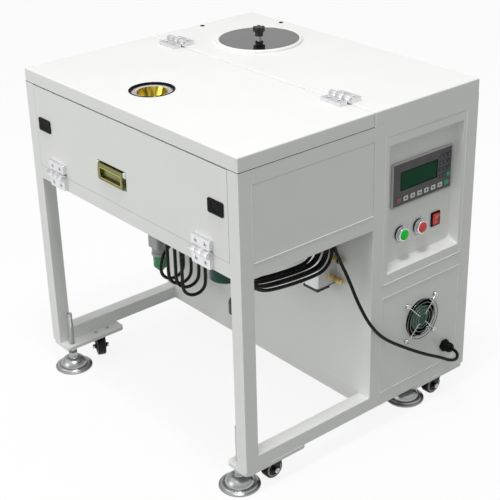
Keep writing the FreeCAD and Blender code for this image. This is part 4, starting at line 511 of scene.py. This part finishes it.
def hose_points():
    """Loops hung over the bar: down in front, round the bottom, up behind, over the top."""
    made = [mm(*p) for p in HOSE_START]
    width = HOSE_HALF_W * OUT
    upper = HOSE_SIDE_Z + 20
    half_turn = [math.pi * i / HALF_TURN_STEPS for i in range(HALF_TURN_STEPS + 1)]
    for loop, x in enumerate(HOSE_LOOPS):
        low = HOSE_BOTTOM_Z[loop] + HOSE_HALF_W
        middle = (HOSE_SIDE_Z + low) / 2
        if loop:
            made += [mm(x - HOSE_DRIFT, HOSE_MID_Y - width, z) for z in (upper, middle)]
        for a in half_turn:
            made.append(mm(x - HOSE_DRIFT * math.cos(a), HOSE_MID_Y - width * math.cos(a), low - width * math.sin(a)))
        made += [mm(x + HOSE_DRIFT, HOSE_MID_Y + width, z) for z in (middle, upper)]
        if loop < len(HOSE_LOOPS) - 1:
            x0, x1 = x + HOSE_DRIFT, HOSE_LOOPS[loop + 1] - HOSE_DRIFT
            for i, a in enumerate(half_turn):
                made.append(mm(x0 + (x1 - x0) * i / HALF_TURN_STEPS, HOSE_MID_Y + width * math.cos(a),
                               HOSE_TOP_Z - HOSE_HALF_W + width * math.sin(a)))
    return made + [mm(*p) for p in HOSE_END]


hose = cord_curve("air_line", hose_points(), 0.004, hose_skin, "cabinet")
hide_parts("air_hose")


# ---------------------------------------------------------------- added pieces

def rings_mesh(name, loops, closed):
    """Skin between rings of points; the first and last ring are filled, or joined to each other."""
    shape = bmesh.new()
    rows = [[shape.verts.new(p) for p in ring] for ring in loops]
    count = len(rows[0])
    pairs = list(zip(rows, rows[1:])) + ([(rows[-1], rows[0])] if closed else [])
    for low, high in pairs:
        for i in range(count):
            j = (i + 1) % count
            shape.faces.new((low[i], low[j], high[j], high[i]))
    if not closed:
        shape.faces.new(rows[0][::-1])
        shape.faces.new(rows[-1])
    bmesh.ops.recalc_face_normals(shape, faces=shape.faces)
    mesh = bpy.data.meshes.new(name)
    shape.to_mesh(mesh)
    shape.free()
    return mesh


def add_piece(name, loops, finish, body, closed=False, smooth=35):
    mesh = rings_mesh(name, loops, closed)
    mesh.materials.append(finish)
    made = bpy.data.objects.new(name, mesh)
    scene.collection.objects.link(made)
    mesh.shade_smooth()
    mesh.set_sharp_from_angle(angle=math.radians(smooth))
    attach(made, body)


def stand(place, axis):
    return Matrix.Translation(place) @ Vector(axis).to_track_quat("Z", "Y").to_matrix().to_4x4()


def placed(loops, where):
    return [[where @ p for p in ring] for ring in loops]


def round_ring(radius, z, count=24):
    return [Vector((radius * math.cos(2 * math.pi * i / count), radius * math.sin(2 * math.pi * i / count), z))
            for i in range(count)]


def hex_ring(flats, z, count=24):
    made = []
    for i in range(count):
        a = 2 * math.pi * i / count
        fold = (a + math.pi / 6) % (math.pi / 3) - math.pi / 6
        r = flats / 2 / math.cos(fold)
        made.append(Vector((r * math.cos(a), r * math.sin(a), z)))
    return made


def socket_screw(name, place, axis, radius, height, finish, body):
    """Domed screw head with a hexagon socket."""
    loops = [round_ring(radius, 0), round_ring(radius, height * 0.35), round_ring(radius * 0.92, height * 0.75),
             round_ring(radius * 0.72, height), hex_ring(radius * 0.95, height), hex_ring(radius * 0.92, height * 0.35)]
    add_piece(name, placed(loops, stand(place, axis)), finish, body)


def hex_nut(name, place, axis, flats, height, bore, body):
    chamfer, corner = flats * 0.04, flats * 0.48
    loops = [round_ring(corner, 0), hex_ring(flats, chamfer), hex_ring(flats, height - chamfer),
             round_ring(corner, height), round_ring(bore, height), round_ring(bore, 0)]
    add_piece(name, placed(loops, stand(place, axis)), zinc, body, True)


def turned(name, profile, place, axis, finish, body, count=40, closed=True):
    """Turned ring of a profile of radius and height, or with closed=False a solid cap."""
    loops = [round_ring(r, z, count) for r, z in profile]
    add_piece(name, placed(loops, stand(place, axis)), finish, body, closed)


# screws and pins of the four hinges
HINGE_Z, HINGE_Y, LID_HINGE_X = 720.5, 19.0, 258.0
DOOR_Z, DOOR_Y, DOOR_HINGE_X = 502.5, -318.5, 245.0
SCREW_OUT, SCREW_ALONG, SCREW_SEAT = 18.25, 14.0, 2.6
SCREW_R, SCREW_H = 0.0046, 0.0022
PIN_END = 27.0
PIN_HEAD = ((0.0012, 0), (0.0036, 0), (0.0036, 0.0006), (0.0028, 0.0011), (0.0012, 0.0011))
for side, hand in SIDES:
    lid_x, door_x = side * LID_HINGE_X, side * DOOR_HINGE_X
    for along, end_tag in ENDS:
        for far, leaf_tag in ((-1, "c"), (1, "d")):
            tag, step, out = hand + end_tag + leaf_tag, along * SCREW_ALONG, far * SCREW_OUT
            socket_screw("lid_screw_" + tag, mm(lid_x + step, HINGE_Y + out, HINGE_Z - SCREW_SEAT), UPWARDS,
                         SCREW_R, SCREW_H, zinc, "lid" if far < 0 else "cabinet")
            socket_screw("door_screw_" + tag, mm(door_x + step, DOOR_Y + SCREW_SEAT, DOOR_Z + out), FRONTWARDS,
                         SCREW_R, SCREW_H, zinc, "door" if far > 0 else "cabinet")
    for end, end_tag in ENDS:
        for name, place in (("lid_pin_", mm(lid_x + end * PIN_END, HINGE_Y, HINGE_Z)),
                            ("door_pin_", mm(door_x + end * PIN_END, DOOR_Y, DOOR_Z))):
            turned(name + hand + end_tag, PIN_HEAD, place, RIGHTWARDS * end, chrome, "cabinet", 20)

# screws of the fan
FAN_Y, FAN_Z, FAN_SCREW_X, FAN_SCREW_STEP = 165.0, 226.0, 351.6, 41.25
for sy, y_tag in ENDS:
    for sz, z_tag in ENDS:
        socket_screw("fan_screw_" + y_tag + z_tag,
                     mm(FAN_SCREW_X, FAN_Y + sy * FAN_SCREW_STEP, FAN_Z + sz * FAN_SCREW_STEP), RIGHTWARDS,
                     0.0052, 0.0036, chrome, "cabinet")


def weld_bead(name, start, end, radius, side):
    """Fillet weld laid in overlapping ripples."""
    run = end - start
    count = int(run.length / 0.0025)
    arc = [math.pi * k / 6 - math.pi / 4 for k in range(8)]
    loops = []
    for i in range(count + 1):
        size = radius * (0.82 + 0.18 * math.sin(i * 1.9))
        loops.append([start + run * (i / count) + Vector((-side * size * math.sin(a), 0, size * math.cos(a)))
                      for a in arc])
    add_piece(name, loops, weld, "cabinet", smooth=80)


# lock nuts of the feet, ends of the caster bolts, weld beads on the foot plates
PLATE_Z = 60.0             # top of the foot plates
ROD_X, NUT_Z, CASTER_X, CASTER_BOLT_STEP = 302.0, 45.8, 306.0, 16.0
WELD_X, SEAM_X = 319.6, 349.8
for corner, side, rod_y, caster_y, rail_y0, rail_y1 in (
        ("front_left", -1, -290, -206, -278, -165), ("front_right", 1, -290, -206, -278, -165),
        ("rear_left", -1, 178, 257, 165, 275), ("rear_right", 1, 178, 257, 165, 275)):
    hex_nut("lock_nut_" + corner, mm(side * ROD_X, rod_y, NUT_Z), UPWARDS, 0.019, 0.006, 0.0062, "cabinet")
    for end, end_tag in ENDS:
        socket_screw(f"caster_bolt_{corner}_{end_tag}", mm(side * CASTER_X, caster_y + end * CASTER_BOLT_STEP, PLATE_Z),
                     UPWARDS, 0.0042, 0.0026, zinc, "cabinet")
    weld_bead("weld_" + corner, mm(side * WELD_X, rail_y0, PLATE_Z + 0.2), mm(side * WELD_X, rail_y1, PLATE_Z + 0.2),
              0.0026, side)
    weld_bead("seam_" + corner, mm(side * SEAM_X, rail_y0 + 30, PLATE_Z), mm(side * SEAM_X, rail_y1, PLATE_Z),
              0.0011, -side)

# sections of two thin strips, in millimetres out of the face and along it
RIDGE = ((-0.6, 1.5), (0.3, 0.85), (0.95, -0.1), (0.7, -0.7), (-0.6, -0.9))
# the second section is the dark strip painted as shade in the seam under the lid
SEAM_SHADE = ((-0.6, 0.0), (0.12, -0.05), (0.2, -0.45), (0.12, -0.85), (-0.6, -0.9))


def edge_strip(name, start, end, out, face, section=RIDGE, finish=weld):
    """Thin strip along an edge, a little uneven."""
    run = end - start
    count = max(8, int(run.length / 0.012))
    loops = []
    for i in range(count + 1):
        size = (1 + 0.06 * math.sin(i * 2.3)) / 1000
        loops.append([start + run * (i / count) + out * (u * size) + face * (v * size) for u, v in section])
    add_piece(name, loops, finish, "cabinet", smooth=60)


# ridges of paint along the edges of the side panels, each with its bright face up or to the front
PANELS = (("table", -280, 20, 502, 654, "ab"), ("upper", 50, 280, 341, 654, "abd"), ("lower", 50, 280, 90, 311, "abcd"))
for side, hand in SIDES:
    for panel, y0, y1, z0, z1, edges in PANELS:
        runs = {"a": ((y0, z0), (y1, z0), UPWARDS), "b": ((y0, z0), (y0, z1), FRONTWARDS),
                "c": ((y0, z1), (y1, z1), UPWARDS), "d": ((y1, z0), (y1, z1), FRONTWARDS)}
        for edge in edges:
            start, end, face = runs[edge]
            edge_strip(f"panel_ridge_{panel}_{hand}_{edge}", mm(side * SIDE_X, *start), mm(side * SIDE_X, *end),
                       RIGHTWARDS * side, face)

# dark strips painted as the shade in the seam under the lid, along both sides and over the front posts
SEAM_SHADE_Z, LID_FRONT_Y, LID_BACK_Y, POST_X = 684.1, -310.0, 18.0, 320.0
for side, hand in SIDES:
    corner = mm(side * SIDE_X, LID_FRONT_Y, SEAM_SHADE_Z)
    edge_strip("lid_seal_side_" + hand, corner, mm(side * SIDE_X, LID_BACK_Y, SEAM_SHADE_Z), RIGHTWARDS * side, UPWARDS,
               SEAM_SHADE, black_plastic)
    edge_strip("lid_seal_front_" + hand, mm(side * POST_X, LID_FRONT_Y, SEAM_SHADE_Z), corner, FRONTWARDS, UPWARDS,
               SEAM_SHADE, black_plastic)

# caster wheels: pale bands and axle nuts, placed from the joints of the record
BAND_OUT, AXLE_NUT_OUT = 0.0095, 0.0148
BAND = ((0.0140, -0.0006), (0.0178, -0.0006), (0.0178, 0.0001), (0.0172, 0.00035), (0.0146, 0.00035), (0.0140, 0.0001))
for joint in JOINTS:
    if joint["name"].startswith("wheel_"):
        middle, axle = Vector(joint["pos_m"]), Vector(joint["axis"]).normalized()
        corner = joint["child"].removeprefix("wheel_")
        for end, end_tag in ENDS:
            out = axle * end
            turned(f"wheel_band_{corner}_{end_tag}", BAND, middle + out * BAND_OUT, out, wheel_band, joint["child"])
            hex_nut(f"axle_nut_{corner}_{end_tag}", middle + out * AXLE_NUT_OUT, out, 0.010, 0.004, 0.0016,
                    joint["parent"])


def on_front(out, across, up):
    return mm(across, -out, up)


def plate_loops(x0, x1, y, z, w, h, r, edge, put=mm):
    """Rounded plate with a bevelled front edge, facing right, or to the front with put=on_front."""
    def ring(x, w, h, r):
        made = []
        for cy, cz, first in ((w / 2 - r, h / 2 - r, 0), (-w / 2 + r, h / 2 - r, 1), (-w / 2 + r, -h / 2 + r, 2),
                              (w / 2 - r, -h / 2 + r, 3)):
            for k in range(5):
                a = math.pi / 2 * (first + k / 4)
                made.append(put(x, y + cy + r * math.cos(a), z + cz + r * math.sin(a)))
        return made
    return [ring(x0, w, h, r), ring(x1 - edge, w, h, r), ring(x1, w - 2 * edge, h - 2 * edge, max(0.2, r - edge))]


def frame_loops(x0, x1, y, z, w, h, r, wall, edge=0.6, put=mm):
    """Plate with an opening that leaves a wall all round."""
    outer = plate_loops(x0, x1, y, z, w, h, r, edge, put)
    inner = plate_loops(x0, x1, y, z, w - 2 * wall, h - 2 * wall, max(0.3, r - wall), 0.01, put)
    return [outer[0], outer[1], outer[2], inner[1], inner[0]]


FACING_RIGHT = Matrix(((0, 0, 1, 0), (1, 0, 0, 0), (0, 1, 0, 0), (0, 0, 0, 1)))


def digit(name, text, x, y, z, size, finish):
    data = bpy.data.curves.new(name, "FONT")
    data.body = text
    data.size = size / 1000
    data.align_x = "CENTER"
    data.align_y = "CENTER"
    data.extrude = 0.00008
    data.materials.append(finish)
    made = bpy.data.objects.new(name, data)
    scene.collection.objects.link(made)
    made.matrix_world = Matrix.Translation(mm(x, y, z)) @ FACING_RIGHT
    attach(made, "cabinet")


def arrow(name, x, y, z, size, heading, finish):
    """Flat arrow head with a short shaft."""
    outline = ((0, 1), (0.8, 0.1), (0.3, 0.1), (0.3, -0.9), (-0.3, -0.9), (-0.3, 0.1), (-0.8, 0.1))
    c, s = math.cos(heading), math.sin(heading)
    loops = [[mm(x + lift, y + size * (u * c - v * s), z + size * (u * s + v * c)) for u, v in outline]
             for lift in (0, 0.18)]
    add_piece(name, loops, finish, "cabinet")


# display: rims, key caps, digits and arrows
FLOOR_X = 326.0            # floor of the control recess
FACE_X = FLOOR_X + 4.0     # front of the display
KEY_X, KEY_H, KEY_EDGE = FACE_X + 0.6, 0.5, 0.3
HMI_Y, HMI_Z = 176.0, 534.54
SCREEN_Y, SCREEN_Z = 166.5, HMI_Z + 5.5
FUNCTION_Y, FUNCTION_Z, FUNCTION_STEP = 178.3, HMI_Z - 32.5, 19.8
NUMBER_Y, NUMBER_Z, NUMBER_STEP_Y, NUMBER_STEP_Z = HMI_Y + 64.5, HMI_Z + 6.5, 11.2, 14.0
add_piece("display_rim", frame_loops(FLOOR_X + 0.2, FACE_X + 0.7, HMI_Y, HMI_Z, 173.2, 95.2, 5, 3.2),
          rim_silver, "cabinet", True)
add_piece("screen_rim", frame_loops(FACE_X - 0.6, FACE_X + 0.5, SCREEN_Y, SCREEN_Z, 107, 40, 1.5, 1.6),
          black_plastic, "cabinet", True)
for i, finish in enumerate((key_red, *[key_white] * 6, key_green)):
    y = FUNCTION_Y + (i - 3.5) * FUNCTION_STEP
    add_piece(f"function_key_{i}", plate_loops(KEY_X, KEY_X + KEY_H, y, FUNCTION_Z, 13.2, 10.2, 1.8, KEY_EDGE),
              finish, "cabinet")
    if finish is key_white:
        arrow(f"key_arrow_{i}", KEY_X + KEY_H, y, FUNCTION_Z, 3.2, math.pi / 2 * (i % 4), black_plastic)
for row, signs in enumerate(("789", "456", "123", "-0 ")):
    for column, sign in enumerate(signs):
        y, z = NUMBER_Y + (column - 1) * NUMBER_STEP_Y, NUMBER_Z + (1.5 - row) * NUMBER_STEP_Z
        tag = f"{row}{column}"
        add_piece("number_key_" + tag, plate_loops(KEY_X, KEY_X + KEY_H, y, z, 9, 9, 1.6, KEY_EDGE),
                  key_green if sign == " " else key_blue, "cabinet")
        if sign != " ":
            digit("key_sign_" + tag, sign, KEY_X + KEY_H + 0.05, y, z, 6.5, key_sign)

# marks on the rocker: a ring on the upper half, a bar on the lower
ROCKER_TILT = math.radians(9)
MARK_OUT, MARK_UP, MARK_H = 0.0054, 0.0062, 0.0003
BAR = ((-0.0006, -0.0022), (0.0006, -0.0022), (0.0006, 0.0022), (-0.0006, 0.0022))
rocker_joint = next(j for j in JOINTS if j["name"] == "rocker_tilt")
paddle = Matrix.Translation(Vector(rocker_joint["pos_m"])) @ Matrix.Rotation(ROCKER_TILT, 4, "Y")
bar_at, ring_at = (paddle @ Matrix.Translation(Vector((MARK_OUT, 0, z))) for z in (-MARK_UP, MARK_UP))
add_piece("rocker_bar", placed([[Vector((x, y, z)) for y, z in BAR] for x in (0, MARK_H)], bar_at), key_white,
          "rocker")
turned("rocker_ring", ((0.0015, 0), (0.0023, 0), (0.0023, MARK_H), (0.0015, MARK_H)), ring_at.translation,
       ring_at.to_3x3() @ RIGHTWARDS, key_white, "rocker", 24)

# bare label strips under the controls
for name, y, z, w in (("start", 120, 402, 22), ("stop", 173, 403, 26), ("power", 224, 405, 25)):
    add_piece("label_strip_" + name, plate_loops(FLOOR_X + 0.02, FLOOR_X + 0.5, y, z, w, 9.5, 0.8, 0.2), label_white,
              "cabinet")

# a cap on the fan's hub and two blanking plugs in the rear cover
HUB_X = 346.6
HUB_CAP = ((0.0262, 0), (0.027, 0.0006), (0.0268, 0.0014), (0.0255, 0.0022), (0.021, 0.0028), (0.020, 0.0024),
           (0.019, 0.0028), (0.008, 0.0031))
BLANKING = ((0.0036, -0.001), (0.0052, 0), (0.0050, 0.0008), (0.0038, 0.0014), (0.0012, 0.0016))
turned("fan_hub_cap", HUB_CAP, mm(HUB_X, FAN_Y, FAN_Z), RIGHTWARDS, fan_cap, "fan", 48, False)
for name, x, y in (("blanking_plug", -336, 150), ("blanking_plug_rear", -230, 296)):
    turned(name, BLANKING, mm(x, y, TOP_Z), UPWARDS, black_plastic, "cabinet", 28, False)

# raised rim round the dish of the door pull, in bright brass against the pull's dark brass: a painted highlight along
# the dish's edge
PULL_FACE, PULL_MID_X, DISH_MID_Z = 314.0, -45.0, 559.0
add_piece("pull_dish_rim", frame_loops(PULL_FACE - 0.4, PULL_FACE + 0.6, PULL_MID_X, DISH_MID_Z, 75, 23, 4.4, 1.7, 0.4,
                                       on_front), brass, "door_pull", True)

# collar that holds the bowl of the air filter: steps out from the bowl's radius, and heights
COLLAR = ((-0.001, 0), (0.0022, 0.0004), (0.003, 0.0016), (0.003, 0.0074), (0.0022, 0.0086), (-0.001, 0.009))
COLLAR_DOWN = 0.022
bowl_lo, bowl_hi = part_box("air_filter_bowl")
bowl_r, bowl_mid = (bowl_hi.x - bowl_lo.x) / 2, (bowl_lo + bowl_hi) / 2
turned("bowl_collar", [(bowl_r + step, z) for step, z in COLLAR],
       Vector((bowl_mid.x, bowl_mid.y, bowl_hi.z - COLLAR_DOWN)), UPWARDS, filter_grey, "cabinet")

# air line: bands on the silencers, blue release rings on the hose fittings
SILENCER_X, SILENCER_Y = 265.0, 8.8
SILENCER_BAND = ((0.0054, 0), (0.0064, 0.0006), (0.0066, 0.002), (0.0064, 0.0054), (0.0054, 0.006))
RELEASE_RING = ((0.0043, 0), (0.0062, 0), (0.0062, 0.0016), (0.0056, 0.0024), (0.0043, 0.0024))
for i, (z, finish, slot) in enumerate(((336, brass, "brass_bright"), (381, black_plastic, "black_plastic"))):
    turned(f"silencer_band_{i}", SILENCER_BAND, mm(SILENCER_X, SILENCER_Y, z), RIGHTWARDS, finish, "cabinet", 28)
for name, place, axis in (("hose_ring_filter", HOSE_START[0], RIGHTWARDS), ("hose_ring_deck", HOSE_END[-1], -UPWARDS)):
    turned(name, RELEASE_RING, mm(*place), axis, blue_ring, "cabinet", 28)


# ---------------------------------------------------------------- floor, light and background

FLOOR_HALF = 30


def backdrop(name):
    """Pale floor that keeps the shadow, and is white to the camera and in reflections."""
    made = bpy.data.materials.new(name)
    made.use_nodes = True
    tree = made.node_tree
    tree.nodes.clear()
    place = node(tree, "ShaderNodeTexCoord").outputs["Object"]
    diffuse = node(tree, "ShaderNodeBsdfDiffuse")
    pale = mix_colour(tree, noise(tree, place, 3, 3.0), (0.93, 0.93, 0.93), (0.97, 0.97, 0.97))
    glow = node(tree, "ShaderNodeEmission", Color=(1, 1, 1, 1), Strength=1.0)
    path = node(tree, "ShaderNodeLightPath")
    seen = maths(tree, "MAXIMUM", path.outputs["Is Camera Ray"],
                 maths(tree, "MAXIMUM", path.outputs["Is Glossy Ray"], path.outputs["Is Transmission Ray"]))
    link(tree, mix_colour(tree, seen, (0.34, 0.355, 0.335), pale), diffuse.inputs["Color"])
    blend = node(tree, "ShaderNodeMixShader")
    link(tree, maths(tree, "MULTIPLY", seen, 0.88), blend.inputs["Fac"])
    link(tree, diffuse.outputs["BSDF"], blend.inputs[1])
    link(tree, glow.outputs["Emission"], blend.inputs[2])
    out = node(tree, "ShaderNodeOutputMaterial")
    link(tree, blend.outputs["Shader"], out.inputs["Surface"])
    return made


floor_mesh = bpy.data.meshes.new("floor")
floor_mesh.from_pydata([(x * FLOOR_HALF, y * FLOOR_HALF, 0) for x, y in ((-1, -1), (1, -1), (1, 1), (-1, 1))], [],
                       [(0, 1, 2, 3)])
floor_mesh.materials.append(backdrop("floor"))
floor = bpy.data.objects.new("floor", floor_mesh)
scene.collection.objects.link(floor)


def studio(name, bright_side):
    """Sky that is brighter on one side, a plain room in reflections, white to the camera."""
    made = bpy.data.worlds.new(name)
    made.use_nodes = True
    tree = made.node_tree
    tree.nodes.clear()
    heading = node(tree, "ShaderNodeTexCoord").outputs["Generated"]
    towards = node(tree, "ShaderNodeVectorMath", operation="DOT_PRODUCT")
    link(tree, heading, towards.inputs[0])
    towards.inputs[1].default_value = Vector(bright_side).normalized()
    sky = mix_colour(tree, spread(tree, towards.outputs["Value"], 0, 1, -1.0, 1.0), (0.115, 0.122, 0.112),
                     (0.80, 0.80, 0.80))
    height = part_of(tree, heading, "Z")
    room = mix_colour(tree, spread(tree, height, 0, 1, 0.0, 0.8), (0.42, 0.42, 0.42), (0.95, 0.95, 0.95))
    path = node(tree, "ShaderNodeLightPath")
    tone = mix_colour(tree, path.outputs["Is Glossy Ray"], sky, room)
    seen = maths(tree, "MAXIMUM", path.outputs["Is Camera Ray"], path.outputs["Is Transmission Ray"])
    tone = mix_colour(tree, seen, tone, (1.0, 1.0, 1.0))
    shader = node(tree, "ShaderNodeBackground", Strength=1.0)
    link(tree, tone, shader.inputs["Color"])
    link(tree, shader.outputs["Background"], node(tree, "ShaderNodeOutputWorld").inputs["Surface"])
    return made


def area_lamp(name, place, target, size, power):
    data = bpy.data.lights.new(name, "AREA")
    data.size = size
    data.energy = power
    made = bpy.data.objects.new(name, data)
    made.matrix_world = stand(Vector(place), Vector(place) - Vector(target))
    scene.collection.objects.link(made)


scene.world = studio("studio", (-0.50, -0.62, 0.60))
area_lamp("key", (0.65, -0.55, 3.6), (0, 0.0, 0.6), 0.6, 49)
area_lamp("fill", (-0.9, -3.2, 1.3), (0, 0, 0.5), 1.8, 20)
